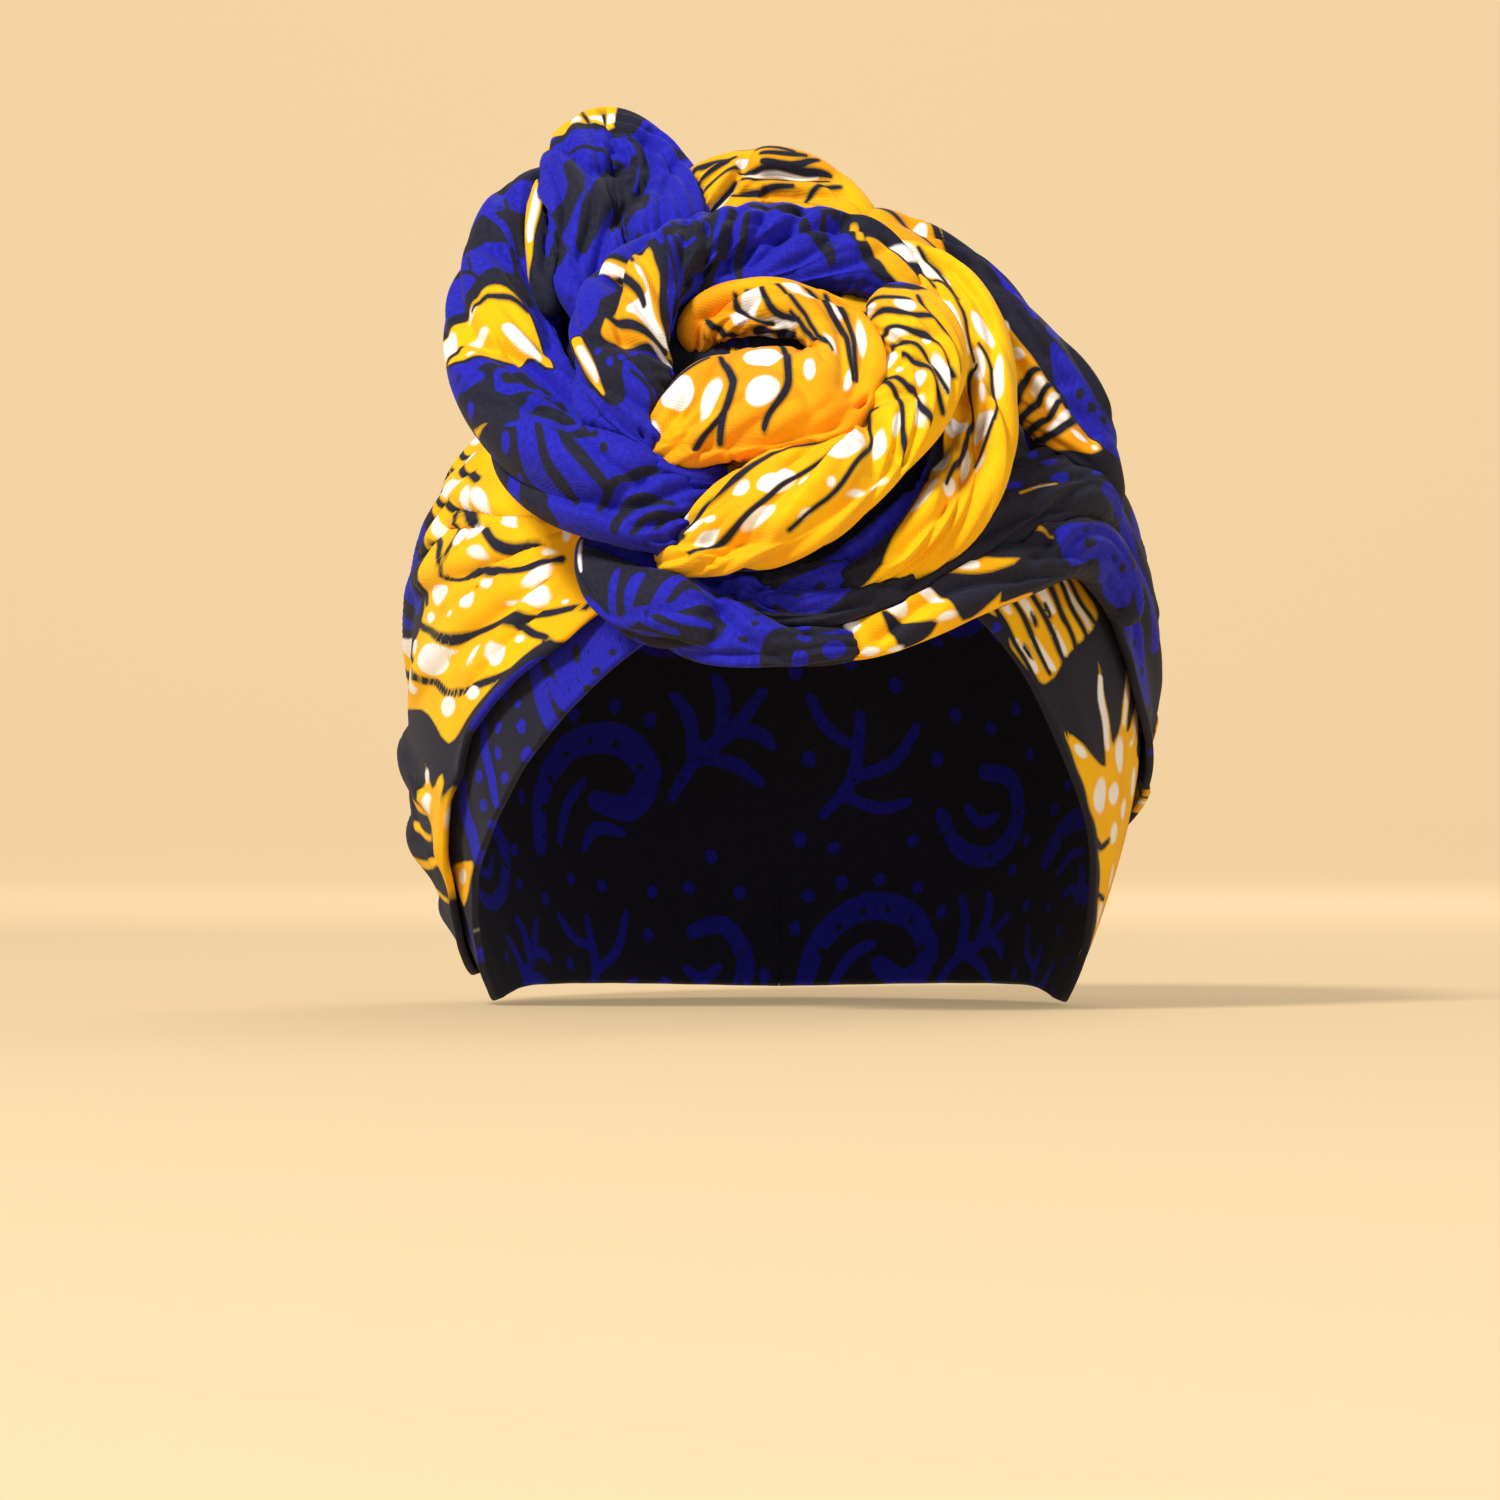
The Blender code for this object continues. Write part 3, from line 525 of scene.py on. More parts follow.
CAP_PRINT = [
    # plain ground round the opening
    ("night", "areas",
     ((-96, -66), (-70, -52), (-40, -46), (0, -40), (40, -46), (70, -52), (96, -66), (98, -110),
      (92, -156), (60, -160), (40, -90), (0, -60), (-40, -80), (-60, -160), (-92, -156), (-98, -110))),
    # blue spotted strip at one side of the opening
    ("blue", "areas", ((-56, -62), (-44, -60), (-30, -68), (-40, -80), (-48, -82), (-52, -74))),
    ("night", "spots", (-46.5, -70, 1.1, 2.4), (-42, -74.5, 1.2, 1.1), (-38, -70, 0.9, 1),
     (-49, -66.5, 0.9, 1.1), (-44, -78.5, 0.9, 1)),
    ("blue", "lines", (1.8, (-57, -70), (-54.5, -80), (-50, -92)),
     (1.0, (-53, -76), (-49, -82.5), (-44, -87)), (1.5, (-60, -73), (-67, -79), (-73.5, -89)),
     (1.0, (-68.5, -86), (-67.5, -95), (-65, -105)),
     (1.3, (-74.5, -92), (-73.5, -104), (-70.5, -115), (-68.5, -122))),
    ("blue", "spots", (-59.5, -87, 1.3, 1.8), (-65, -86.5, 1.0, 1.5), (-63, -79.5, 1.2, 1.3),
     (-58, -93.5, 1.2, 1.9), (-64.7, -93, 0.9, 1.6), (-63.4, -98.6, 1.0, 1.6), (-69.6, -98.6, 0.8, 1.6),
     (-62.4, -104, 1.0, 1.4), (-68.2, -105, 0.9, 1.6), (-66.8, -110, 0.8, 1.4), (-56, -99, 0.9, 1.4),
     (-60, -82, 0.9, 1.2)),
    ("gold", "areas", ((-78.5, -119.5), (-71, -118.2), (-72, -123), (-75, -129), (-77.5, -125))),
    ("white", "spots", (-74.6, -122, 1.3, 2.2, -20), (-72, -135, 0.8, 1.1)),
    ("blue", "lines", (0.7, (-76, -132), (-73.5, -140), (-70.5, -149))),
    # ribbed patch at the other side
    ("gold", "areas",
     ((43, -57), (50, -54), (57, -47), (62, -48.5), (68, -52.5), (73.5, -61), (67, -69.5), (60, -77.5),
      (52.5, -69), (51, -63), (47, -61))),
    ("white", "lines", (1.1, (53, -53.5), (55.5, -58), (57.5, -62)),
     (1.1, (57.5, -51), (60, -56), (62.5, -60.5)), (1.0, (49.5, -56), (52, -60.5)),
     (1.2, (57.5, -66), (60, -70), (62.5, -73.5)), (1.0, (61.5, -63.5), (64, -68), (65.5, -70.5)),
     (1.1, (53.5, -67), (56, -70), (58, -74)), (0.7, (66.5, -56), (69.5, -60.5), (71, -64)),
     (0.7, (63.5, -52), (66, -55.5))),
    ("night", "lines", (0.55, (47.5, -57), (52.5, -66), (58.5, -77)),
     (0.55, (51, -54), (57, -65), (61.5, -75)), (0.55, (54.5, -50.5), (60.5, -62), (65, -71.5)),
     (0.55, (58, -48), (63.5, -58), (68, -69)), (0.5, (61.5, -49), (66, -57), (70.5, -66)),
     (0.45, (64.5, -50.5), (69, -57.5), (72.5, -63)), (0.45, (57, -60.5), (58.3, -63.5)),
     (0.45, (60.6, -58.5), (61.8, -61.5)), (0.45, (64, -60), (65.2, -63)), (0.45, (55.5, -68), (57, -71))),
    ("blue", "spots", (49, -64.3, 1.1, 1.3)),
    # flame leaf down to the lower edge
    ("gold", "areas",
     ((64, -87.5), (70, -91), (75, -96), (74.2, -84), (73, -71), (75.2, -80), (77.5, -91), (80.5, -82),
      (82, -73), (84, -79), (82, -88), (86, -83), (89, -76), (91, -82), (88, -92), (92, -96), (90, -106),
      (87, -118), (84, -128), (81, -138), (77.5, -143), (75.5, -125), (73, -112), (70, -102), (67, -94))),
    ("white", "lines", (0.9, (73.6, -75), (74.6, -84), (76, -92))),
    ("white", "spots", (74, -103, 1.8, 4.4), (78.2, -102.5, 1.7, 2.8), (79.6, -93.5, 1.5, 4.4),
     (82.6, -106, 1.2, 2.7), (79, -112, 1.4, 2.8)),
    ("white", "lines", (0.8, (82, -76), (82, -82), (80, -88))),
    ("white", "spots", (77.8, -131, 1.1, 3.6), (69, -92.5, 2.2, 1.2, -40), (87, -100, 1.6, 4),
     (81, -122, 1.2, 3)),
    ("white", "lines", (0.9, (88.5, -79), (87, -86), (84, -91))),
    ("night", "lines", (0.7, (72.5, -112.5), (75, -115), (77.5, -113.5)),
     (0.6, (76, -126.5), (78.5, -127.5))),
]
cap = cloth_grid("cap_cloth", *CAP_GRID, place_cap)
print_cloth(cap, "night", CAP_PRINT, PRINT_CURLS + PRINT_SPRIGS, back_spread)
add_wall(cap, CAP_WALL)
dress(cap, "cap", painted_shade_orange=0.15)

# Outer wrap: one wide length of the printed cotton, drawn round the cap and tucked in at the back.
# It is gathered to a pinch beside the rosette, low on one side and drawn up on the other.
WRAP_WALL = 1.8
WRAP_LIFT = CAP_WALL + 0.9
WRAP_CROWN_Z = WRAP_LIFT + 2.5
LAP_HEIGHT = 0.9
LAP_RISE = 2.5
LAP_FADE = 30
EDGE_ROLL_HEIGHT = 0.9
EDGE_ROLL_WIDTH = 3.0
RIPPLE_HEIGHT = 0.3
CRISP_SIDE = 0.45
WRAP_RIM = [
    (-180, -136), (-125, -140), (-95, -146), (-80, -139), (-74, -130), (-68, -118), (-63, -108), (-58, -98),
    (-52, -87), (-44, -77), (-36, -69), (-28, -60), (-15, -50), (20, -46), (50, -46), (58, -56), (66, -70),
    (78, -88), (95, -103), (125, -122), (180, -136),
]
# Folds that stand out of the wrap: azimuth and z of both ends, width, height.
WRAP_FOLDS = [
    # gathers that fan out from the pinch beside the rosette
    (-43, -37, -90, -28, 5.0, 3.2), (-41, -43, -86, -54, 5.6, 3.8), (-40, -50, -78, -80, 5.6, 3.2),
    (-38, -38, -64, -26, 1.8, 2.0), (-38, -41, -74, -38, 1.8, 2.2), (-37, -44, -68, -47, 1.6, 2.2),
    (-38, -46, -66, -60, 1.7, 2.0), (-37, -50, -62, -68, 1.8, 1.9), (-36, -54, -58, -78, 1.9, 1.7),
    (-37, -40, -58, -33, 1.4, 1.5), (-37, -45, -58, -53, 1.4, 1.5),
    # the rolled front edge, below the gathers
    (-30, -60, -58, -96, 3.5, 1.6), (-60, -100, -72, -122, 5.0, 2.4),
    # fingers of cloth that bulge low on the same side
    (-112, -84, -78, -98, 7.0, 3.0), (-114, -104, -80, -117, 7.0, 4.6), (-112, -122, -86, -133, 5.0, 2.4),
    (-100, -88, -70, -106, 2.4, 2.2), (-98, -98, -74, -122, 2.2, 1.8),
    # the cloth drawn up into the bulge on the other side
    (56, -34, 68, -66, 6.0, 3.2), (70, -28, 88, -66, 6.5, 3.4), (84, -30, 112, -84, 7.0, 2.6),
    (62, -30, 76, -72, 2.2, 1.6), (54, -40, 60, -58, 2.0, 1.4), (78, -34, 98, -84, 2.6, 1.5),
    # swathes that run from the rosette round both sides to the back
    (48, -16, 146, -104, 5.5, 3.2), (58, -12, 160, -98, 6.5, 3.8), (72, -9, 172, -88, 7.0, 3.5),
    (92, -8, -172, -74, 7.0, 3.2), (54, -28, 128, -108, 5.0, 2.8), (66, -44, 116, -104, 5.0, 3.0),
    (-56, -14, -148, -100, 6.0, 3.5), (-72, -10, -164, -92, 7.0, 3.8), (-90, -8, -178, -78, 7.0, 3.2),
    (-62, -26, -130, -106, 5.5, 3.2), (-84, -44, -120, -108, 5.5, 3.2), (-92, -30, -140, -112, 5.0, 2.8),
    # pleats drawn together at the lower edge of the back
    (-112, -34, -150, -134, 5.0, 3.9), (-123, -30, -156, -134, 4.6, 3.6), (-134, -44, -161, -136, 4.6, 4.2),
    (-146, -26, -166, -136, 5.0, 3.6), (-157, -50, -171, -136, 4.4, 3.9), (-169, -28, -176, -136, 5.0, 4.2),
    (180, -46, 180, -134, 4.6, 3.6), (168, -26, 175, -136, 5.0, 3.9), (157, -52, 170, -134, 4.4, 3.9),
    (145, -28, 165, -134, 5.0, 3.6), (133, -46, 160, -132, 4.6, 4.2), (121, -30, 154, -130, 5.0, 3.9),
    (109, -50, 148, -122, 4.6, 3.3), (-104, -44, -142, -128, 4.0, 2.7), (100, -66, 138, -112, 3.6, 2.4),
]
WRAP_COLUMNS = [(-180, 0.0), (-116, 0.155), (-34, 0.475), (44, 0.565), (112, 0.835), (180, 1.0)]
WRAP_ROWS = [(0.0, 0.0), (0.33, 0.15), (1.0, 1.0)]
WRAP_GRID = (336, 138)


def fold_heights(azimuth, z):
    """How far the wrap's folds lift it: the highest fold near each point. Each is crisp on one side."""
    mm_per_degree = math.radians(HEAD_HALF_WIDTH)
    highest = np.zeros(azimuth.shape)
    for start, start_z, end, end_z, width, height in WRAP_FOLDS:
        run_x, run_z = ((end - start + 180) % 360 - 180) * mm_per_degree, end_z - start_z
        here_x, here_z = ((azimuth - start + 180) % 360 - 180) * mm_per_degree, z - start_z
        share = ((here_x * run_x + here_z * run_z) / (run_x**2 + run_z**2)).clip(0, 1)
        away = np.hypot(here_x - share * run_x, here_z - share * run_z)
        reach = np.where(here_x * run_z > here_z * run_x, width, CRISP_SIDE * width)
        ends = np.minimum(1, np.minimum(4 * share + 0.3, 4 * (1 - share) + 0.3))
        highest = np.maximum(highest, height * ends * np.exp(-((away / reach) ** 2)))
    return highest


def place_wrap(across, down):
    """Lays the wrap's flat cloth over the cap, with folds, a rolled edge and a lap behind the front zone."""
    azimuth = spaced(WRAP_COLUMNS, across)
    rim = rim_heights(WRAP_RIM, azimuth)
    z = row_heights(spaced(WRAP_ROWS, down), azimuth, WRAP_CROWN_Z, rim)
    ripple = RIPPLE_HEIGHT * np.sin(0.35 * z + 0.16 * azimuth) * np.sin(0.07 * azimuth - 0.09 * z)
    rolled = EDGE_ROLL_HEIGHT * np.exp(-(((z - rim) / EDGE_ROLL_WIDTH) ** 2))
    behind = behind_front_zone(azimuth, z)
    lapped = LAP_HEIGHT * (behind / LAP_RISE + 0.5).clip(0, 1) * np.exp(-((behind.clip(0) / LAP_FADE) ** 2))
    lift = WRAP_LIFT + fold_heights(azimuth, z) + ripple.clip(0) + rolled + lapped
    unpleated = shell_points(azimuth, z, WRAP_LIFT + WRAP_WALL, WRAP_CROWN_Z)
    return shell_points(azimuth, z, lift, WRAP_CROWN_Z), front_spread(azimuth, unpleated), z, behind


WRAP_PRINT = [
    # plain ground at both sides
    ("night", "areas",
     ((-70, -76), (-84, -72), (-100, -76), (-116, -92), (-118, -118), (-112, -150), (-60, -150),
      (-60, -100)),
     ((30, -20), (56, -8), (80, -6), (100, -22), (110, -50), (112, -84), (104, -112), (80, -110),
      (50, -60))),
    # gold panel on one side
    ("gold", "areas",
     ((-124, -30), (-112, -12), (-90, -6), (-60, -10), (-36, -34), (-41, -62), (-52, -67.5), (-62, -74),
      (-70, -82), (-78, -91), (-84, -84.5), (-94, -82.5), (-112, -88), (-126, -70))),
    ("night", "areas",
     ((-85.4, -26), (-86.6, -44), (-87.6, -60), (-95, -67), (-106, -64), (-116, -50), (-112, -34),
      (-98, -22))),
    ("blue", "areas",
     ((-86.6, -29), (-87.8, -44), (-88.6, -57), (-93, -60), (-97.4, -50), (-96, -38), (-92, -29))),
    ("night", "spots", (-91, -36, 1.1, 1.3), (-92.6, -43, 1.1, 1.3), (-92.6, -50, 1.1, 1.3)),
    ("blue", "lines", (2, (-99, -62), (-103.6, -50), (-101, -36), (-95, -25)),
     (1.6, (-106, -58), (-109.6, -48), (-108, -38))),
    ("night", "lines", (1, (-118, -10), (-100, -15), (-84, -20), (-70, -30)),
     (1, (-118, -72), (-106, -74), (-96, -69), (-90, -64)), (0.9, (-100, -4), (-88, -9), (-76, -18)),
     (0.9, (-116, -84), (-106, -84), (-98, -79))),
    ("white", "spots", (-112, -26, 2.6, 3), (-104, -79, 3, 1.8), (-113, -66, 2.6, 2.4),
     (-113, -78, 2.4, 2), (-86, -13.6, 3.4, 1.8, 15), (-97, -9.6, 3, 1.6, 10), (-108, -8, 3, 2),
     (-76, -24, 2.4, 1.6, 30)),
    ("night", "lines",
     (0.9, (-84, -26), (-85.2, -40), (-86, -58)),
     (0.85, (-83, -33), (-76, -35.5), (-73, -37.5), (-66, -43), (-62, -45), (-55, -45.2)),
     (0.55, (-76, -36), (-75.3, -42), (-75.5, -47)),
     (0.8, (-83, -43), (-79.5, -45), (-77, -48.5)),
     (0.85, (-78, -50.5), (-74.5, -52.3), (-68, -51.3), (-60, -50.8), (-50.5, -48.5)),
     (0.85, (-94, -61), (-86, -64), (-78, -66), (-70, -64.3), (-62, -62.3), (-52, -60.5), (-42, -60)),
     (0.8, (-61, -63), (-57, -66), (-52.5, -67.3)),
     (0.85, (-98, -69), (-88, -73.5), (-81.5, -76.3), (-77, -79), (-66, -75.8), (-57, -73))),
    ("white", "spots", (-81, -55.5, 2.7, 3.1), (-71.5, -58, 2.4, 2), (-80.5, -71.3, 3.2, 3.2),
     (-66, -70, 1.9, 3.4, -25), (-71.3, -70.6, 1.2, 2.9, -30), (-78, -82, 2.1, 2.6), (-72, -79.2, 2, 1.8),
     (-88, -77, 2, 1.6), (-56, -52, 4, 1.3, 30), (-67, -54, 2.1, 1.4), (-56.5, -57, 3.8, 1.9, 20),
     (-78, -30.5, 4, 1.5, 20), (-81, -40, 1.4, 2.8), (-74, -43, 1.8, 2.3), (-70, -41.8, 1.8, 2.8, -40),
     (-68, -34, 1.5, 3, 45), (-71.8, -33.5, 1.4, 2.6), (-68, -46.2, 2.5, 1), (-84, -61.5, 1.9, 1.5),
     (-77.6, -68.3, 2.6, 1.2), (-91, -68, 2.2, 2), (-53, -47, 1.6, 0.9), (-49.4, -42, 1.2, 2.6),
     (-62, -57.4, 1.3, 0.9), (-60.5, -66.5, 1.3, 1), (-49.5, -58.3, 1.1, 0.8), (-95, -76, 3, 2.6),
     (-62, -40, 2.4, 1.2, -35), (-76, -61, 1.2, 0.9), (-102, -68, 3, 3.4), (-108, -78, 2.4, 2),
     (-92, -20, 4, 2), (-76, -18, 3, 2.2), (-108, -24, 3.4, 2.6), (-64, -20, 2.4, 2)),
    # the rolled lip of the front edge, blue with dark dots
    ("blue", "lines", (1.5, (-40, -64.5), (-48, -69.2), (-56, -74), (-64, -80.2), (-69, -87), (-71, -94))),
    ("night", "spots", (-50, -70.2, 0.8, 0.8), (-56, -74.2, 0.8, 0.8), (-62, -78.8, 0.8, 0.9),
     (-67.2, -84.6, 0.8, 0.9)),
    # the fingers low on that side
    ("gold", "areas",
     ((-87, -91), (-85.3, -98), (-87.5, -104), (-84, -113), (-81, -122), (-78.5, -130), (-75.2, -134.5),
      (-77, -120), (-76.3, -108), (-79, -98), (-83, -101))),
    ("white", "spots", (-85, -98.5, 1, 2), (-84.6, -105, 1.2, 2.6), (-77.2, -107, 0.8, 3)),
    ("gold", "areas",
     ((-74.8, -99.5), (-75, -104), (-76.8, -111), (-76.6, -120), (-78.6, -112), (-77.4, -104))),
    ("white", "lines", (0.5, (-75.8, -103), (-77.2, -110), (-77.4, -117))),
    ("gold", "lines", (1.1, (-97, -103), (-91, -105.5), (-85.5, -107)),
     (1.1, (-97, -110), (-90, -112), (-85, -113)), (1.2, (-95, -117), (-88, -119), (-82.5, -119)),
     (0.9, (-90, -125), (-85, -127), (-80, -128))),
    # blue waves on the other side
    ("blue", "areas",
     ((54, -40), (62, -42), (68, -44), (72, -41), (73, -50), (69, -53.5), (64, -50.5), (57, -48))),
    ("blue", "lines", (3.2, (70, -32), (75, -46), (80, -58), (86, -70), (92, -80)),
     (1.6, (78, -34), (84, -46), (90, -58), (94, -68)),
     (1.8, (88, -36), (96, -48), (102, -60), (104, -72)),
     (1.3, (60, -16), (72, -19), (84, -17), (94, -21))),
    ("blue", "spots", (86, -28, 1.6, 1.9), (92, -32, 1.6, 1.9), (98, -36, 1.5, 1.9), (76, -26, 1.5, 1.8),
     (68, -25, 1.5, 1.7), (100, -84, 1.7, 2), (96, -92, 1.6, 1.9)),
    ("night", "spots", (67, -48.5, 1.1, 1.2), (75, -47.5, 1.1, 1.2), (79.4, -57.5, 1, 1.2),
     (84.8, -67, 1, 1.2), (88.2, -73.5, 0.9, 1.1)),
    ("gold", "areas", ((71, -57), (73, -55.4), (74.2, -57.6), (72.6, -60), (71.2, -59))),
]
wrap = cloth_grid("outer_wrap_cloth", *WRAP_GRID, place_wrap)
print_cloth(wrap, "night", WRAP_PRINT, PRINT_LEAF + PRINT_CURLS, back_spread)
add_wall(wrap, WRAP_WALL)
dress(wrap, "outer_wrap", painted_shade_orange=0.12)

# Rosette: the two tails of the wrap, each rolled and twisted, then coiled on themselves above the front edge.
# Each turn is held by those that lie on it. The topmost come first, and each later one is pressed under them.
GAP = 0.4
SEAT_FRONT_Y = -111.0
SEAT_FOOT_Z = -60.0
SEAT_LEAN = math.radians(25)
SEAT_HALF_WIDTH = 93.0
SEAT_BEND_DEPTH = 105.0
SEAT_CROWN_CURL = 90.0
SECTION_STEP = 1.1
CLOSER_IN_FRONT = 0.3
PLEATS = 11
PLEAT_DEPTH = 0.14
PLEAT_TWIST = 1.3
CREASE_LAP = 0.1
WRINKLE_DEPTH = 0.03
SQUEEZE_DEPTH = 0.05
SQUEEZES_PER_MM = 1.15
TUCK_FLAT = 0.3
ENDS_ROUNDED = 5.0
FLAT_TO_ANGLE = 55.0
FRONT = np.array([0, -math.cos(SEAT_LEAN), math.sin(SEAT_LEAN)])


def clear_of_wrap(points, gap):
    """The points, pressed out from the shell's middle to this gap where they would lie nearer the wrap."""
    azimuth = np.degrees(np.arctan2(points[:, 0] / HEAD_HALF_WIDTH, -points[:, 1] / HEAD_HALF_DEPTH))
    lift = WRAP_LIFT + WRAP_WALL + fold_heights(azimuth, points[:, 2]) + gap
    across = np.hypot(points[:, 0] / (HEAD_HALF_WIDTH + lift), points[:, 1] / (HEAD_HALF_DEPTH + lift))
    up = (points[:, 2] - WIDEST_Z).clip(0) / (WRAP_CROWN_Z + WRAP_WALL + gap - WIDEST_Z)
    power = fullness(azimuth)
    level = np.minimum(1, (across**power + up**power) ** (1 / power))[:, None]
    middle = np.array([0, 0, WIDEST_Z])
    return middle + (points - middle) / level


def seat_y(x, z):
    """Depth of the seat that the rosette's coils rest on."""
    lean = (z - SEAT_FOOT_Z) * math.tan(SEAT_LEAN)
    bend = SEAT_BEND_DEPTH * (1 - np.sqrt((1 - (x / SEAT_HALF_WIDTH) ** 2).clip(0)))
    return SEAT_FRONT_Y + lean + bend + z.clip(0) ** 2 / SEAT_CROWN_CURL


# A route's columns are x, z, how far it stands in front of the seat, half width, half depth and twist.
# A pinch is x, z, reach, depth and rays. A tuck is the width and depth of a sharp crease, then its points.
def along_route(stations):
    """Centres, sizes and frames of the sections of one tail, evenly spaced."""
    rows = np.array(stations, float)
    rows = np.concatenate([rows, seat_y(rows[:, 0], rows[:, 1])[:, None] - rows[:, 2:3]], axis=1)
    fine = []
    for i in range(len(rows) - 1):
        before, after = rows[max(0, i - 1)], rows[min(len(rows) - 1, i + 2)]
        slope_in = (rows[i + 1] - before) / (2 if i else 1)
        slope_out = (after - rows[i]) / (2 if i + 2 < len(rows) else 1)
        fine += [eased(rows[i], rows[i + 1], slope_in, slope_out, step / STEPS) for step in range(STEPS)]
    fine = np.array(fine + [rows[-1]])
    centres = fine[:, [0, 6, 1]]
    passed = np.concatenate([[0], np.linalg.norm(np.diff(centres, axis=0), axis=1).cumsum()])
    even = np.linspace(0, passed[-1], round(passed[-1] / SECTION_STEP) + 1)
    centres = np.stack([np.interp(even, passed, centres[:, k]) for k in range(3)], axis=1)
    half_width, half_depth, turn = (np.interp(even, passed, fine[:, k]) for k in (3, 4, 5))
    tangent = np.gradient(centres, axis=0)
    tangent /= np.linalg.norm(tangent, axis=1)[:, None]
    across = np.cross(tangent, FRONT)
    across /= np.linalg.norm(across, axis=1)[:, None]
    out = np.cross(across, tangent)
    ends = np.minimum(even, passed[-1] - even)
    closing = np.sqrt((1 - (1 - (ends / ENDS_ROUNDED).clip(0, 1)) ** 2).clip(0))
    return centres, across, out, half_width * closing, half_depth * closing, np.radians(turn)


def pinched(points, angle, pinches, seed):
    """The points, drawn in at each pinch, with rays that run out from it."""
    for pinch_x, pinch_z, reach, depth, rays in pinches:
        dx, dz = points[:, 0] - pinch_x, points[:, 2] - pinch_z
        away = np.hypot(dx, dz)
        ray = np.abs(np.cos(rays * np.arctan2(dz, dx) / 2 + seed))
        sunk = depth * np.exp(-((away / reach) ** 2)) * (0.35 + 0.65 * (1 - ray) * (away / 2).clip(0, 1))
        points = points - FRONT * (sunk * (np.sin(angle) > -0.2))[:, None]
    return points


def tucked(points, angle, tucks):
    """The points, sunk along each tuck where they face the front."""
    facing = (np.sin(angle) + 0.3).clip(0, 1)
    for width, depth, *line in tucks:
        away = line_distance(points[:, 0], points[:, 2], line, TUCK_FLAT).clip(0)
        points = points - FRONT * (depth * np.exp(-away / width) * facing)[:, None]
    return points


def opened_flat(angle):
    """Where a point round a tail falls across its print: flat in front, and drawn out round the sides."""
    open_angle = np.arcsin(np.cos(angle))
    limit = math.radians(FLAT_TO_ANGLE)
    past_side = np.where(np.sin(angle) < 0, math.pi - np.abs(open_angle), np.abs(open_angle))
    beyond = (past_side - limit).clip(0) * math.cos(limit) * np.sign(np.cos(angle))
    return np.sin(open_angle.clip(-limit, limit)) + beyond


def seat_coil(name, stations, lobes, fold_depth, creases, seed, pinches, tucks):
    """A rolled tail as a closed tube with round folds, pleats that lap over them, pinches and sharp tucks."""
    centres, across, out, half_width, half_depth, turn = along_route(stations)
    sections = len(centres) - 1
    sides = max(40, round(2 * math.pi * half_width.max() / SECTION_STEP))
    bend = np.gradient(np.gradient(centres, axis=0), axis=0) / SECTION_STEP**2
    chance = np.random.default_rng(seed)
    crease_at = chance.uniform(0, 2 * math.pi, creases)
    crease_drift = chance.uniform(-1.6, 1.6, creases)
    crease_depth = chance.uniform(0.1, 0.26, creases)
    crease_width = chance.uniform(0.25, 0.7, creases)
    crease_middle = chance.uniform(0, 1, creases)
    crease_reach = chance.uniform(0.2, 0.6, creases)
    wrinkle_phase, patch_phase = chance.uniform(0, 2 * math.pi, 4), chance.uniform(0, 2 * math.pi, 3)

    def place(along, around):
        i = np.rint(along * sections).astype(int)
        even = 2 * math.pi * around
        angle = even - math.pi / 2 + CLOSER_IN_FRONT * np.sin(even)
        share = 1 - fold_depth * (1 - np.abs(np.cos(lobes * (angle - turn[i]) / 2)))
        patches = np.sin(6 * along + 1.4 * np.cos(angle + patch_phase[0]) + patch_phase[1])
        patches += np.sin(2 * angle + 4 * along + patch_phase[2])
        pleats = 1 - np.abs(np.cos(PLEATS * (angle - PLEAT_TWIST * turn[i]) / 2))
        share -= PLEAT_DEPTH * (patches * 0.7).clip(0, 1) * pleats
        for k in range(creases):
            crease_angle = turn[i] + crease_at[k] + crease_drift[k] * along
            away = (angle - crease_angle + math.pi) % (2 * math.pi) - math.pi
            strength = np.exp(-(((along - crease_middle[k]) / crease_reach[k]) ** 2))
            lapped = np.where(away >= 0, np.exp(-away / crease_width[k]), np.exp(-((away / CREASE_LAP) ** 2)))
            share -= crease_depth[k] * strength * lapped
        share += WRINKLE_DEPTH * np.sin(9 * along + wrinkle_phase[0]) * np.cos(angle + wrinkle_phase[1])
        wide = (half_width[i] * share * np.cos(angle))[:, None]
        deep = (half_depth[i] * share * np.sin(angle))[:, None]
        offset = across[i] * wide + out[i] * deep
        squeezed = (np.sum(bend[i] * offset, axis=1) * 1.6).clip(0, 1)
        passed = along * sections * SECTION_STEP * SQUEEZES_PER_MM
        rippled = np.sin(passed + 2 * np.sin(2 * angle + wrinkle_phase[2]) + wrinkle_phase[3])
        points = centres[i] + offset * (1 + SQUEEZE_DEPTH * squeezed * rippled)[:, None]
        points = tucked(pinched(points, angle, pinches, seed), angle, tucks)
        on_print = centres[i] + across[i] * (half_width[i] * opened_flat(angle))[:, None]
        behind = (-np.sin(angle) - 0.5) * half_depth[i]
        return clear_of_wrap(points, GAP), on_print[:, 0], on_print[:, 2], behind

    return cloth_grid(name, sections, sides, place)


def move_points(mesh, points):
    """Gives the mesh's points new places."""
    mesh.vertices.foreach_set("co", points.astype(np.float32).ravel())
    mesh.update()


ROSETTE_DEPTH = 0.09
laid_in_front = []


def press_under(obj):
    """Presses a piece back from every cloth that lies on it, as far as needed."""
    points = coordinates(obj.data)
    back = Vector(-FRONT)
    for tree in laid_in_front:
        for i, point in enumerate(points):
            hit, normal, *_ = tree.ray_cast(Vector(point), back, ROSETTE_DEPTH)
            if hit is not None and normal.dot(back) > 0:
                points[i] = hit + back * GAP * MM
    move_points(obj.data, points)


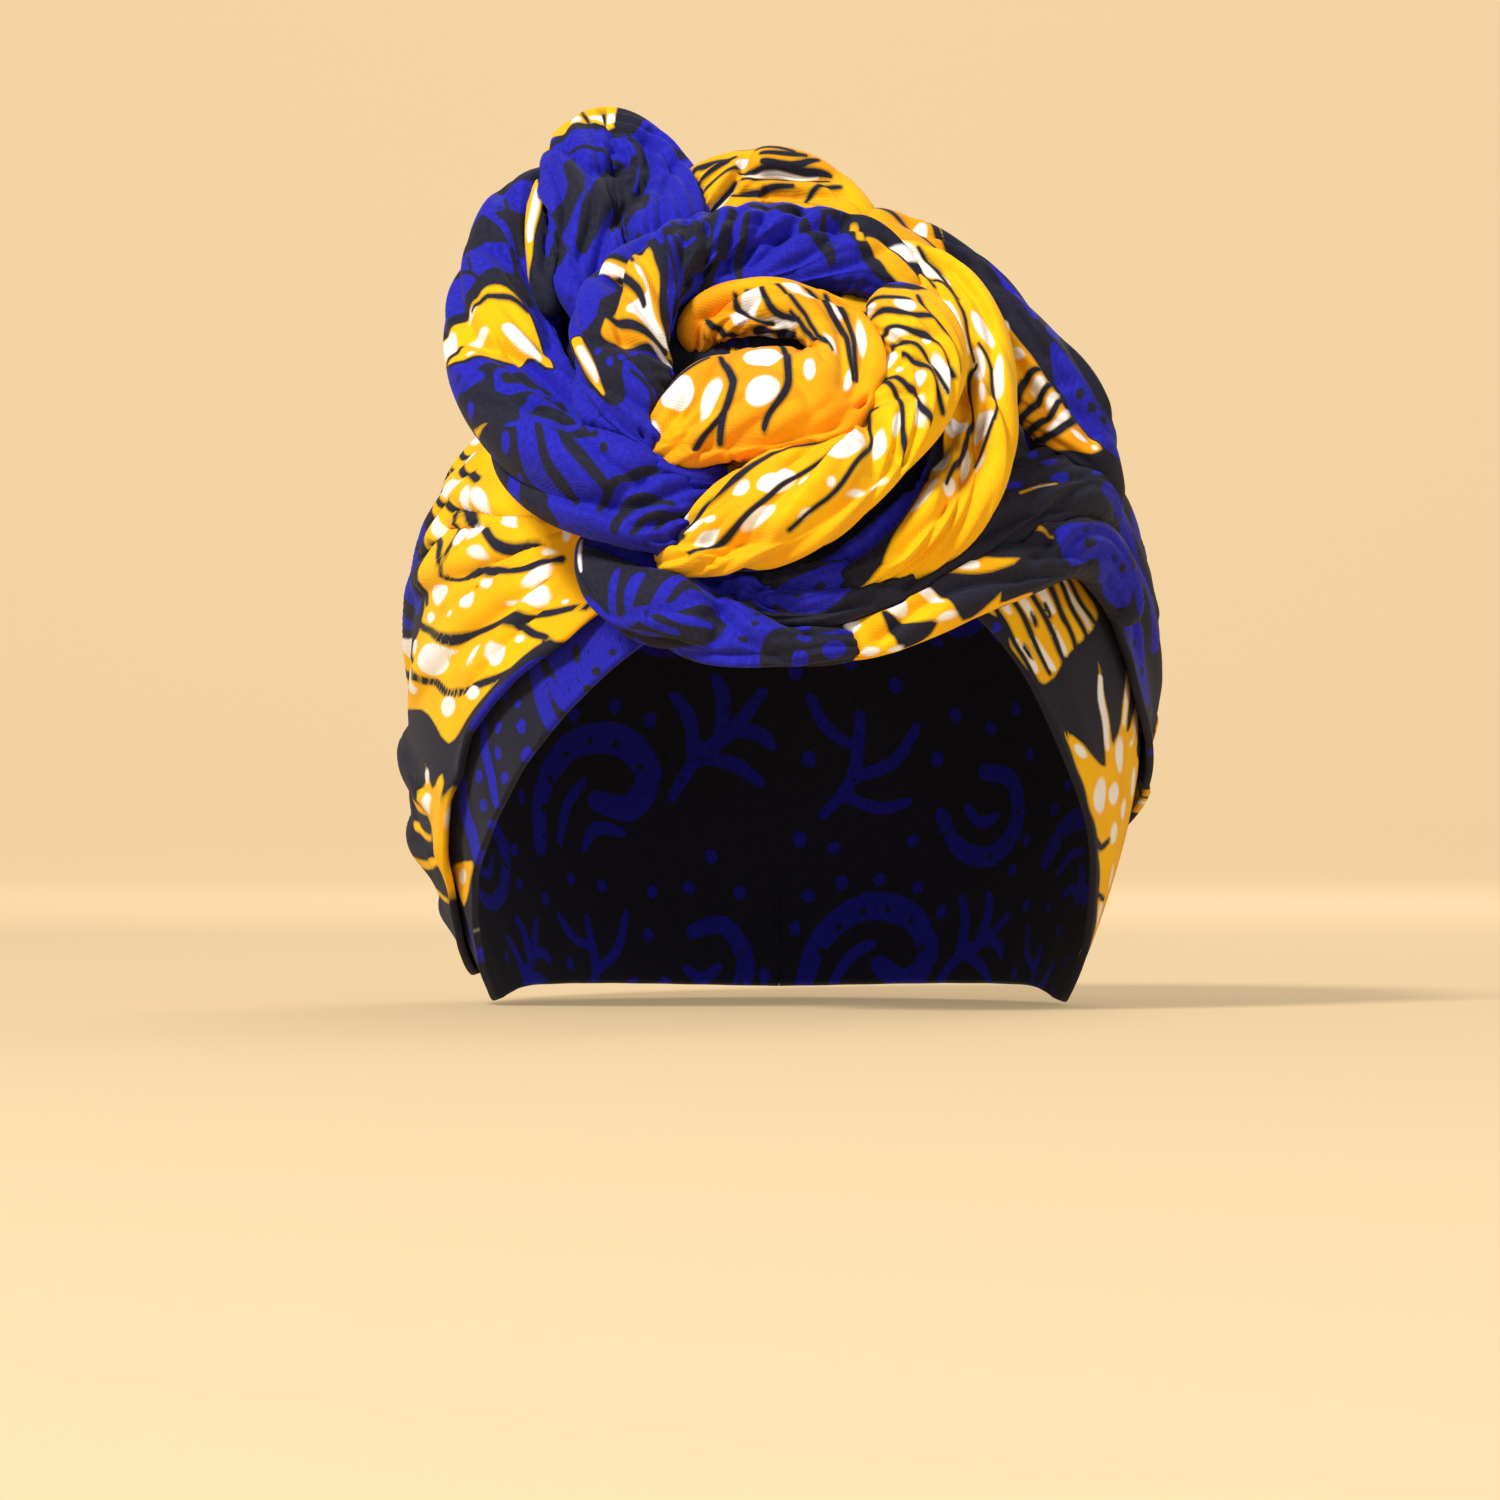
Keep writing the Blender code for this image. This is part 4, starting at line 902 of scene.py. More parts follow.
def finer(obj):
    """Replaces the mesh by its own subdivision surface."""
    smooth = obj.modifiers.new("finer", "SUBSURF")
    smooth.levels = smooth.render_levels = 1
    graph = bpy.context.evaluated_depsgraph_get()
    smoothed = obj.evaluated_get(graph)
    mesh = bpy.data.meshes.new_from_object(smoothed, preserve_all_data_layers=True, depsgraph=graph)
    obj.modifiers.remove(smooth)
    obj.data = mesh
    mesh.shade_smooth()


def lay_coil(
    node, stations, rows, ground, painted_shade_orange, lobes, fold_depth, creases, seed, pinches, tucks
):
    """Makes one tail, presses it under those in front, prints it and puts it in its place."""
    coil = seat_coil(f"{node}_cloth", stations, lobes, fold_depth, creases, seed, pinches, tucks)
    press_under(coil)
    graph = bpy.context.evaluated_depsgraph_get()
    laid_in_front.append(BVHTree.FromObject(coil, graph))
    finer(coil)
    print_cloth(coil, ground, rows, PRINT_LEAF + PRINT_CURLS)
    dress(coil, node, painted_shade_orange)


# Front coil: the brightest turn, nearest to the viewer, gold with large white spots and long black veins.
# It is pinched at its middle and runs up into a neck of narrow cross stripes.
FRONT_COIL_ROUTE = [
    (-28.0, -48.8, 12, 3.5, 4, 0), (-19.5, -46.2, 21, 8.5, 8, 25), (-9.0, -40.8, 30, 13.0, 11, 60),
    (4.0, -34.3, 35, 14.4, 12, 100), (14.0, -28.6, 36, 12.4, 11, 130), (21.0, -23.8, 35, 10.2, 10, 155),
    (27.5, -14.2, 34, 12.0, 10, 190), (31.2, -4.2, 31, 12.2, 10, 230), (29.0, 5.4, 26, 10.6, 9, 270),
    (22.5, 12.0, 18, 5.0, 5, 300),
]
FRONT_COIL_PRINT = [
    ("white", "spots", (-20, -38.5, 2.8, 2.6, -30), (-24.5, -38, 3, 1, -15), (-7, -32.5, 1.6, 2.7),
     (0, -33, 4.2, 3.9, -15), (6, -34, 1.1, 1.8), (11.5, -36, 1, 1.2), (-12, -40.3, 1.1, 1.1),
     (-15.2, -41, 3, 1.3, 35), (-12.2, -45, 3, 1.8, 28), (-2.3, -42.8, 4, 2.1, 40), (7, -42.4, 1.6, 1, 30),
     (12.8, -26.5, 4.1, 4.8, -15), (21, -26, 2.1, 3.8, -12), (26.3, -22.3, 1.5, 3, -10),
     (32.2, -18.4, 1.4, 3.9, 8), (25.5, -9, 1, 1), (31.3, -11.8, 1.3, 1.7, 20),
     (22.3, -6.6, 1.9, 2.6, -30), (37.4, -10.5, 1.8, 4.8, 28), (26, -1.9, 3, 0.9, 3),
     (29.5, 4.6, 3, 1.6, -12), (21.4, 5.4, 1.8, 1), (33.4, -3.4, 1.4, 0.9, -25), (17, -37.3, 2.2, 0.7, 15),
     (22.5, -35, 2.8, 0.8, 32), (20, -47, 2, 1)),
    ("night", "lines", (0.62, (10, -17.5), (0, -22), (-7, -28), (-13, -35), (-17.5, -41.5), (-19, -44)),
     (0.55, (-16.5, -33), (-19.2, -34.5), (-19.5, -38), (-17.6, -42)),
     (0.62, (12, -22), (8, -27), (3, -33), (-2, -39), (-6, -44), (-11, -47), (-17, -49.5)),
     (0.47, (18.8, -16.5), (19, -22), (17.5, -29), (15, -34), (11, -39.5), (4, -45)),
     (0.58, (21.5, -11), (26, -16), (28.3, -22), (28.3, -29)),
     (0.55, (19.5, -10.8), (25, -11.5), (30, -14.5), (34, -20), (35, -22)),
     (0.47, (26, -6.2), (31, -8.5), (36, -13.5), (38.5, -18)),
     (0.51, (23, -3.4), (29, -4.4), (34, -8.6), (38.5, -14)),
     (0.55, (21.5, -1.2), (27, -0.6), (33, -2), (38, -5.5), (41, -10)),
     (0.55, (20, 2.8), (24, 3.5), (30, 2.3), (37, 2)), (0.51, (19, 6.2), (23, 7.3), (28, 6.4), (31, 6)),
     (0.47, (33, 7), (37, 1), (41, -3), (42.5, -8))),
    ("night", "areas",
     ((16, 22), (24, 21), (36, 20), (37, 11.6), (31, 9.6), (25, 10.4), (19.6, 12.8), (16, 15))),
    ("blue", "areas", ((22.4, 15.4), (35, 17.6), (34.6, 12.6), (29, 11.2), (25, 12))),
    ("night", "areas", ((-30, -41), (-24, -41), (-18.5, -42.8), (-17.2, -44.5), (-24, -45), (-30, -46)),
     ((14.5, -14.6), (17, -16), (21, -17.5), (17.5, -18), (12, -16.6), (6, -17))),
]
lay_coil(
    "coil_front", FRONT_COIL_ROUTE, FRONT_COIL_PRINT,
    ground="gold", painted_shade_orange=0.3, lobes=3, fold_depth=0.1, creases=9, seed=4,
    pinches=[(14.5, -18.5, 5.5, 3.2, 9), (-19, -47, 8, 2.5, 8)],
    tucks=[
        (1.76, 3.96, (18, -13.5), (23, -20), (27.6, -27)), (1.54, 3.3, (18, -13.5), (25, -11), (32, -10)),
        (1.65, 3.63, (17, -14), (20, -21), (21, -28)), (1.76, 3.63, (16, -14.5), (10, -20), (2, -27)),
        (1.32, 2.64, (22, -8), (29, -3), (38, -3)), (1.32, 2.47, (21.5, -3), (28, 2.4), (36, 3)),
        (1.65, 3.63, (-26, -41), (-19, -38), (-9, -31)), (1.54, 3.3, (-24, -44), (-15, -44), (-5, -43)),
        (2.2, 2.97, (-14, -47), (0, -44), (12, -38), (22, -30)),
    ],
)

# Centre coil: the innermost turn, wound on itself round a dark eye, in the same gold with white spots, its gold
# drawn far to orange as painted shade, since the turn lies back in shade.
# Its cloth is rolled like the other tails, and its end is tucked in under the front coil.
CENTRE_COIL_ROUTE = [
    (-21.0, -0.8, 12, 4.0, 4, 0), (-17.0, 6.7, 18, 6.6, 6, 30), (-5.0, 10.2, 22, 7.6, 8, 70),
    (8.0, 7.8, 25, 8.6, 9, 110), (15.5, -1.2, 28, 10.6, 9, 150), (11.0, -10.8, 31, 13.0, 11, 190),
    (-2.0, -13.3, 33, 14.2, 12, 230), (-13.6, -15.3, 32, 13.4, 12, 260), (-23.2, -20.6, 28, 9.2, 9, 290),
    (-29.4, -24.6, 21, 5.0, 5, 310),
]
CENTRE_COIL_PRINT = [
    ("white", "spots", (-20, -12.5, 3.9, 3.7), (-4.2, -5.2, 3.4, 2.7), (-13, -14.5, 1.8, 5, -15),
     (-4, -15.5, 2.8, 3.8, -15), (4.5, -10, 1.3, 2.8, 5), (-5.5, 0, 3, 1.6), (0.5, 3.8, 4.2, 1, -15),
     (-25, -20.5, 2.6, 2.8), (-5.4, 9, 2.2, 4.2), (3.6, 12.4, 1.6, 4, 48), (7, 9, 2.2, 1.6, -40),
     (10.6, -4, 0.9, 3.2, 14), (13.4, 6, 1, 3.2, 20), (18.4, -2, 1.2, 4.6), (13.6, -12.5, 1.2, 2.6, -30),
     (-8, 5.4, 2.2, 1.8)),
    ("night", "lines", (0.66, (-1.5, 1.5), (0, -6), (0.4, -12), (-1, -18), (-3.5, -23)),
     (0.66, (-12.3, -4.5), (-9.6, -9), (-9.2, -15), (-11, -20.5), (-16, -24.5)),
     (0.55, (-11.5, -24.5), (-10.2, -19.5)), (0.58, (-15, -5), (-20, -8.5), (-24.5, -12.5))),
    ("night", "areas", ((-6.5, 1.4), (-5, 3), (1, 2.6), (3.4, 1.6), (0.6, 0.4), (-2, 1.3))),
    ("night", "lines", (0.55, (-9.5, 12.6), (-8.5, 8), (-5.5, 5.4), (-1, 4.2)),
     (0.55, (-3.4, 12.8), (-2.6, 9), (0, 5.6), (4.5, 3.2)),
     (0.39, (-7, 13.6), (0, 12.4), (4, 7), (8, 0), (10.6, -6)),
     (0.66, (6.5, 13.6), (12, 6), (14.6, -2), (15, -12)),
     (0.62, (11.5, 10.6), (15.5, 4.4), (16.4, -4), (16, -12)), (0.39, (3, 5), (6, 1), (9.4, -4)),
     (0.62, (-16, 7), (-13, 3), (-9, 1.6))),
]
lay_coil(
    "coil_centre", CENTRE_COIL_ROUTE, CENTRE_COIL_PRINT,
    ground="gold", painted_shade_orange=0.75, lobes=3, fold_depth=0.1, creases=10, seed=11,
    pinches=[(-24, -22, 6, 1.6, 8)],
    tucks=[
        (1.98, 4.29, (-22, -15), (-17, -8), (-11, 1)), (1.65, 3.3, (5.7, 16), (13, 5), (14, -8)),
        (1.54, 2.97, (12, 12), (18.6, 1), (16, -11)),
        (1.76, 3.3, (-20, -22.6), (-12, -22.6), (0, -21), (12, -18)),
        (1.43, 2.64, (-21, -18), (-18, -16), (-15, -14)), (1.54, 3.3, (-19, 8), (-10, 10), (-2, 6)),
        (1.54, 2.64, (-4, -3), (4, -8), (7, -14)),
    ],
)

# Left coil: the large outer turn, royal blue and blue-black with long loops and one gold patch at the side.
# Its lower end is drawn in under the front coil, which holds it.
LEFT_COIL_ROUTE = [
    (-45.0, 40.0, 12, 7.5, 7, 0), (-56.8, 32.5, 18, 12.6, 11, 30), (-64.2, 17.0, 22, 14.2, 13, 70),
    (-63.6, 1.5, 25, 15.4, 14, 110), (-59.0, -13.0, 27, 15.8, 14, 150), (-50.0, -25.5, 28, 15.4, 14, 190),
    (-36.0, -33.5, 26, 13.2, 13, 230), (-20.0, -38.0, 20, 10.0, 10, 270), (-4.0, -40.0, 11, 5.0, 5, 300),
]
LEFT_COIL_PRINT = [
    ("night", "areas",
     ((-70, 38), (-62, 43), (-56, 42), (-57, 38), (-63, 37), (-67, 35.5)),
     ((-84, 21), (-72, 27.5), (-64, 28.6), (-55, 29), (-50, 24), (-54, 19), (-60, 17), (-68, 20),
      (-80, 19))),
    ("blue", "lines", (0.9, (-71, 30), (-66.5, 24.5), (-61.5, 16.5))),
    ("night", "lines", (0.55, (-66, 33), (-65, 29), (-67, 26))),
    ("night", "areas",
     ((-88, 4), (-80, 5.5), (-72, 9.6), (-66, 12), (-60, 12.5), (-56, 6), (-60, 4), (-66, 6.6), (-74, 3))),
    ("night", "lines", (0.47, (-78, 15.5), (-73.5, 13), (-71, 9)), (0.47, (-74.6, 18), (-73, 13.5)),
     (0.86, (-63, 18), (-60, 12), (-56, 6))),
    ("blue", "lines", (1.3, (-59, 19), (-56, 13), (-54, 8))),
    ("gold", "areas",
     ((-86, 3), (-79.5, 2.6), (-74, 4.6), (-68, 7.6), (-63, 6.6), (-58, 2), (-54, -4), (-50, -9.5),
      (-57, -7.4), (-61.5, -9.3), (-68, -8), (-76, -6.4), (-80, -5.4), (-88, -5))),
    ("white", "spots", (-79.5, -0.8, 3.2, 3.3), (-73.6, 3.2, 2.4, 0.9, 15), (-71.4, -2, 2.9, 1.2)),
    ("white", "areas", ((-65, -1.4), (-61, -1), (-55.5, -5), (-53, -8.6), (-57, -7), (-61, -4.6))),
    ("white", "spots", (-73, -6, 1.5, 0.6)),
    ("night", "lines", (0.47, (-73.4, 3.4), (-68, 5.3), (-62, 4.2), (-57.6, 1.4)),
     (0.43, (-80, -5.4), (-75.4, -3)), (0.39, (-77, -6.6), (-68, -8.4), (-61.6, -9.6))),
    ("night", "areas",
     ((-84, -13), (-76, -14), (-72, -11), (-66, -9.9), (-58, -10), (-52, -10.6), (-46, -14), (-42, -19),
      (-40, -24), (-39.6, -28), (-50, -27), (-60, -25), (-66, -26), (-74, -23), (-84, -24))),
    ("blue", "lines",
     (1.15, (-47, -14), (-55, -16.4), (-62, -17), (-65.2, -15), (-65, -12.4), (-61, -10.9), (-53, -11.2),
      (-47, -13.6), (-42, -19)),
     (1.25, (-43.6, -25.4), (-50, -25.6), (-55.6, -24.6), (-56.6, -21), (-54, -18.8), (-49, -18.6),
      (-44, -21), (-40.6, -26)),
     (2.4, (-47, -10.6), (-41, -16), (-37, -22), (-36, -28))),
    ("blue", "spots", (-71.6, -12.6, 2.3, 1.6), (-71.6, -18.6, 1.3, 1.6)),
    ("gold", "areas", ((-72.6, -21.6), (-70, -22.4), (-66.6, -23.5), (-70, -23.8), (-71, -25.6))),
    ("night", "areas",
     ((-84, -24), (-74, -23), (-60, -26), (-57, -27), (-57.4, -33), (-52, -39), (-56, -44), (-68, -42),
      (-84, -34))),
    ("blue", "spots", (-62, -28, 1.3, 1.7), (-68.2, -28.6, 1, 1.4), (-72.2, -27, 1.1, 2)),
    ("blue", "lines", (2, (-57, -26), (-56, -33), (-51, -40.5)),
     (1.1, (-50, -27.4), (-48, -33), (-43.6, -38.6))),
    ("night", "lines", (1.3, (-53, -27), (-50.6, -34), (-47, -39.6)),
     (1.7, (-46.6, -27.6), (-43, -32), (-38.6, -37))),
    ("blue", "areas", ((-68, -32), (-64.4, -33), (-64, -39.4), (-67.4, -37))),
    ("blue", "spots", (-60.6, -34, 1.6, 1.1)),
    ("night", "spots", (-38, -29.6, 0.8, 1), (-26, -29, 0.7, 0.8), (-57, -16, 0.5, 0.5)),
    ("night", "lines", (0.7, (-41.6, -40.6), (-36, -35.4), (-30, -32.4), (-21, -28.6)),
     (1.2, (-38, -44.4), (-36, -40.4), (-31, -38), (-26, -38.4)),
     (0.78, (-34, -44.6), (-30.6, -42), (-27, -41)), (0.7, (-29, -44), (-27, -41.6), (-23, -40))),
]
lay_coil(
    "coil_left", LEFT_COIL_ROUTE, LEFT_COIL_PRINT,
    ground="blue", painted_shade_orange=0.2, lobes=3, fold_depth=0.1, creases=9, seed=21,
    pinches=[(-22, -44, 12, 3, 10)],
    tucks=[
        (1.76, 4.29, (-39, -34), (-30, -28), (-20, -25)), (1.65, 4.29, (-36, -37), (-24, -32), (-10, -28)),
        (1.54, 3.96, (-33, -41), (-22, -37), (-8, -32)), (1.43, 3.3, (-28, -44), (-20, -41), (-8, -37)),
        (2.2, 3.96, (-74, 28), (-66, 24), (-57, 14), (-53, 2)),
        (1.98, 3.63, (-66, 40), (-60, 34), (-56, 24)),
        (1.98, 3.96, (-79, 4), (-68, 2), (-58, -3), (-49, -12)),
        (1.76, 3.3, (-77, -7), (-66, -12), (-54, -14)),
        (1.98, 3.96, (-76, -18), (-64, -27), (-52, -32), (-38, -38)),
        (1.65, 2.97, (-71, -27), (-61, -35), (-50, -39)), (1.76, 3.3, (-50, -17), (-42, -24), (-32, -31)),
    ],
)

# Upper coil: the blue turn over the top, which comes forward on the left of the centre as a hood.
# Its folds show gold facets, and both of its ends are tucked under the coils in front.
UPPER_COIL_ROUTE = [
    (32.0, 12.0, 15, 5.0, 5, 0), (19.0, 22.4, 20, 10.4, 9, 30), (3.0, 25.0, 22, 11.6, 11, 70),
    (-13.0, 23.6, 25, 12.0, 11, 110), (-26.6, 18.2, 29, 12.4, 12, 150), (-34.4, 7.6, 32, 13.8, 12, 190),
    (-36.8, -4.2, 33, 13.8, 12, 230), (-34.4, -15.4, 32, 12.0, 11, 265), (-25.5, -25.6, 27, 8.0, 8, 290),
    (-12.0, -31.0, 19, 3.5, 4, 310),
]
UPPER_COIL_PRINT = [
    ("night", "areas", ((14, 33), (26, 33), (34, 26), (38, 14), (33, 8), (26, 12.4), (20, 16), (15, 24))),
    ("gold", "areas", ((18, 24), (23.6, 25.6), (28, 21), (33.4, 15), (26, 13.6)),
     ((15.8, 31), (18.2, 30), (18.4, 26), (17.8, 23.4), (15.8, 23.4), (16.4, 27))),
    ("blue", "areas", ((25, 12.6), (31, 14), (32, 7), (29, 6.6), (24, 9.6))),
    ("white", "areas", ((25, 26), (29, 25.6), (34, 21), (30, 22))),
    ("night", "lines", (1.5, (4, 29), (7.4, 24), (10.6, 18)), (1, (9, 31), (9.8, 25.4), (14, 19))),
    ("blue", "lines", (1.4, (11.4, 29), (11.6, 24.6), (15, 18))),
    ("night", "lines", (1.2, (-8, 33), (2, 32.6), (12, 31.4))),
    ("night", "areas",
     ((-29.4, 22), (-27, 25), (-21.6, 28.4), (-19.4, 22), (-20.6, 12), (-22, 4), (-25, 12))),
    ("blue", "lines", (0.8, (-26, 22.4), (-24, 21), (-22, 22)),
     (0.9, (-27.6, 21), (-24.6, 15), (-22.4, 9))),
    ("night", "lines", (1.6, (-17, 32), (-19, 22), (-19, 8)), (1.3, (-12.6, 32), (-14.6, 22), (-15, 10)),
     (1.0, (-9, 30), (-10, 22), (-9, 14))),
    ("blue", "lines", (0.7, (-18.6, 27.6), (-18.4, 24))),
    ("night", "spots", (-38, 26.6, 0.9, 1.1), (-33.6, 23.8, 1.1, 0.8), (-26.6, 26, 0.9, 0.9)),
    ("night", "areas",
     ((-46.6, 16), (-42, 20.4), (-37.6, 21.6), (-30.6, 20), (-27.4, 12), (-22, -3.6), (-26.4, -3.2),
      (-38, -3.4), (-46, -3.6), (-46, 4))),
    ("blue", "areas", ((-44.4, 16.4), (-41, 14.4), (-42.6, 7), (-45, 0), (-50, 2), (-53, 8), (-49, 14))),
    ("gold", "areas",
     ((-43.6, 17), (-41, 19.4), (-38, 20.2), (-32, 18.6), (-29, 12), (-25, 4), (-20.6, -3.6), (-24, -2.4),
      (-30, -2), (-36, -2.6), (-41, -1.8), (-42.2, 0), (-41, 2.6), (-39.6, 4), (-39, 8), (-38, 11.6),
      (-40.6, 14.4))),
    ("white", "spots", (-41.4, 16.8, 2.3, 1.3, 20)),
    ("white", "areas",
     ((-35.4, 15.4), (-33, 13.6), (-30.4, 7), (-27, 2), (-23, -1.8), (-29, 0.6), (-33, 3), (-36, 4.4),
      (-34, 7), (-31.6, 8))),
    ("white", "spots", (-26, -3, 4, 0.8, -22), (-27.2, 9.6, 0.7, 2.6, 20)),
    ("night", "lines", (0.5, (-38.6, 20.4), (-36, 16.6)), (0.7, (-40.6, 15.4), (-35.6, 11), (-31.6, 5.6)),
     (0.8, (-40.2, 3.2), (-33, 1), (-26, -1.4)), (1.1, (-28.4, 18), (-27.2, 8), (-24, -1))),
    ("night", "areas",
     ((-46, -2.6), (-36, -3.8), (-28, -3.8), (-22, -5), (-22.6, -12), (-25, -18), (-34, -12.6),
      (-38, -16.6), (-46, -12))),
    ("blue", "areas", ((-36, -8), (-32, -9), (-28, -13), (-28.4, -19), (-31, -21.6), (-35, -17))),
    ("blue", "spots", (-42.2, -5.4, 1, 0.9), (-36.6, -7, 1.1, 0.9), (-39.2, -8.4, 0.9, 1),
     (-33, -4.2, 1.5, 0.7), (-22.6, -5.8, 1.1, 1)),
    ("night", "lines", (0.6, (-34, -10), (-30, -13), (-30, -18))),
    ("gold", "lines", (1.3, (-48, -1), (-44.6, -7.6), (-41.6, -13.4))),
    ("white", "lines", (0.9, (-47, -3), (-44.4, -7.6), (-42.4, -11))),
]
lay_coil(
    "coil_upper", UPPER_COIL_ROUTE, UPPER_COIL_PRINT,
    ground="blue", painted_shade_orange=0.55, lobes=4, fold_depth=0.13, creases=12, seed=31,
    pinches=[(-20, -4, 9, 2.5, 9), (-14, 8, 9, 2.6, 9)],
    tucks=[
        (1.54, 4.95, (-21.5, 32), (-22.5, 25), (-22.9, 17)),
        (1.54, 4.95, (-16, 34), (-17.4, 24), (-19.6, 12)), (1.54, 4.95, (-10, 35), (-12.6, 24), (-16, 13)),
        (1.54, 4.62, (-2, 37), (-6, 28), (-11.5, 19)), (1.65, 4.62, (7, 36), (0, 27), (-8, 20)),
        (1.65, 3.96, (16, 32), (8, 24), (-3, 18.6)), (1.65, 3.63, (24, 24), (14, 20), (3, 17)),
        (1.87, 4.29, (-42, 18), (-33, 12), (-25, -2)), (1.76, 3.96, (-43, 2), (-33, 1), (-23, -4)),
        (1.76, 3.96, (-45, -6), (-35, -11), (-25, -18)), (1.76, 3.63, (-40, -14), (-33, -20), (-22, -26)),
        (1.98, 4.29, (-34, 27), (-29, 16), (-24, 4)),
    ],
)

# Right coil: the turn outside the front coil, a blue fold on its inner side and bright gold outside.
# It comes out from under the upper coil, and its end is tucked in below the rosette.
RIGHT_COIL_ROUTE = [
    (22.0, 24.4, 10, 5.0, 5, 0), (34.0, 16.4, 16, 9.4, 8, 30), (41.6, 4.4, 21, 10.4, 10, 70),
    (45.0, -9.2, 23, 10.6, 11, 110), (44.8, -23.2, 23, 10.8, 11, 150), (39.2, -35.8, 22, 11.0, 11, 190),
    (29.5, -44.8, 20, 10.4, 10, 230), (17.5, -50.8, 16, 7.5, 8, 260), (7.0, -53.4, 10, 3.5, 4, 280),
]
RIGHT_COIL_PRINT = [
    ("white", "areas", ((25, 25.4), (29, 24.6), (33.6, 21), (36, 18), (31, 21), (27, 23.6)),
     ((31, 18.6), (36, 19), (41, 14), (39, 14.6), (35, 16)),
     ((34, 9), (39.6, 8.6), (42, 3), (43.2, -3), (39, 0), (36.6, 5))),
    ("white", "spots", (45.6, -5.6, 1.9, 4.6, 8), (51, -8.6, 1.5, 5.6), (46.4, -12.6, 1, 2.4),
     (46.6, -20, 3, 3.4, -20), (39, -19.6, 2.8, 2), (36, -28.4, 1.6, 2.6, -15),
     (41.6, -28.6, 1.2, 3.6, -12), (37.4, -35.6, 1.6, 2.4, -30), (47.4, 3, 2, 4.6, 32),
     (46.4, -29, 0.9, 2.6, -20)),
    ("night", "lines", (0.58, (25, 24), (30, 19), (34, 15.6), (36, 12)),
     (0.62, (33, 8.6), (35.4, 3.6), (38, 0.6)),
     (0.39, (34, 14.6), (39, 14), (42.6, 7), (43.6, 0), (44.4, -4)),
     (0.39, (33, 22), (38, 17), (42, 10.6)), (0.39, (46, -0.6), (49, -6), (50, -14), (49.6, -20)),
     (0.55, (42.6, -13), (42.4, -20), (40.6, -27), (36.6, -35)), (0.47, (50, -17), (48, -24), (44.6, -29)),
     (0.55, (45, -5), (43, -9), (42.6, -14))),
    ("night", "areas",
     ((35.6, -18), (35.4, -26), (32.6, -33), (28, -40.4), (26, -45), (20, -56), (4, -58), (4, -50),
      (14, -42), (24, -30), (30, -22))),
    ("blue", "lines", (3.2, (31, -28), (27, -36), (20.6, -44), (12, -50))),
    ("night", "lines", (0.55, (28.6, -29.6), (24.4, -37), (18.6, -43))),
    ("white", "lines", (1, (34.4, -34.6), (32, -38.4), (29, -41))),
]
lay_coil(
    "coil_right", RIGHT_COIL_ROUTE, RIGHT_COIL_PRINT,
    ground="gold", painted_shade_orange=0.12, lobes=3, fold_depth=0.14, creases=9, seed=41,
    pinches=[(20, -50, 9, 2.5, 8)],
    tucks=[
        (1.76, 4.62, (34, 24), (41, 15), (44.3, 0), (41, -15), (34, -28)),
        (1.76, 4.29, (40, 20), (47.5, 8), (48, -9), (41, -28)), (1.65, 3.63, (28, 25), (35, 18), (39, 10)),
        (1.76, 3.96, (45, -24), (37, -36), (27, -46)),
        (1.65, 3.96, (36, -22), (30, -34), (21, -44), (12, -50)),
    ],
)

# Knot loop: the end of one tail, pulled through so that it stands up at the top left.
# It is blue cloth with a gold and white cap, and the coils below it hold both of its ends.
KNOT_LOOP_ROUTE = [
    (-41.5, 3.0, 13, 4.5, 5, 0), (-43.6, 16.0, 19, 9.8, 9, 30), (-45.8, 29.5, 23, 11.0, 10, 60),
    (-47.0, 43.0, 22, 11.8, 10, 100), (-41.6, 49.4, 19, 11.2, 9.5, 140), (-33.4, 46.4, 16, 10.2, 9, 170),
    (-29.4, 37.4, 16, 12.2, 9, 190), (-28.6, 27.0, 14, 11.4, 9, 210), (-30.0, 17.6, 10, 4.5, 5, 230),
]
KNOT_LOOP_PRINT = [
    ("gold", "areas",
     ((-60, 48), (-56, 56), (-46, 62), (-34, 61), (-35.4, 50.6), (-38, 49.6), (-44, 49.6), (-48, 50),
      (-51.6, 47.6))),
    ("white", "spots", (-44.4, 53.4, 2.9, 1.6), (-38.6, 54.2, 1.6, 1.8), (-50.4, 51.4, 1.4, 1.6)),
    ("night", "lines", (0.47, (-49, 56), (-47.6, 50.6)), (0.78, (-42, 58), (-41, 51)),
     (0.47, (-44, 57), (-41.4, 53)), (1.2, (-55, 44), (-51.4, 47.4), (-46, 49), (-39, 48.6), (-34, 50))),
    ("night", "areas", ((-37, 61), (-31, 60), (-30.6, 50), (-34.6, 49), (-36.4, 51))),
    ("night", "lines", (0.47, (-50, 41.2), (-44, 42), (-36.6, 41.4)),
     (0.62, (-40, 48.4), (-36, 47.6), (-33, 48.4)), (2.3, (-49, 37), (-47.6, 32), (-52.6, 26), (-54, 20)),
     (2.8, (-37.6, 39), (-41.6, 31), (-46, 22)), (2.2, (-34, 41), (-37.6, 35), (-33, 32.4), (-37, 29))),
    ("night", "spots", (-38.2, 26.6, 0.9, 1.2), (-33.4, 24, 1.1, 0.8)),
    ("night", "lines", (0.78, (-26, 49), (-23, 46.6), (-20, 46)),
     (1.4, (-33, 46.6), (-31, 40), (-33, 36))),
]
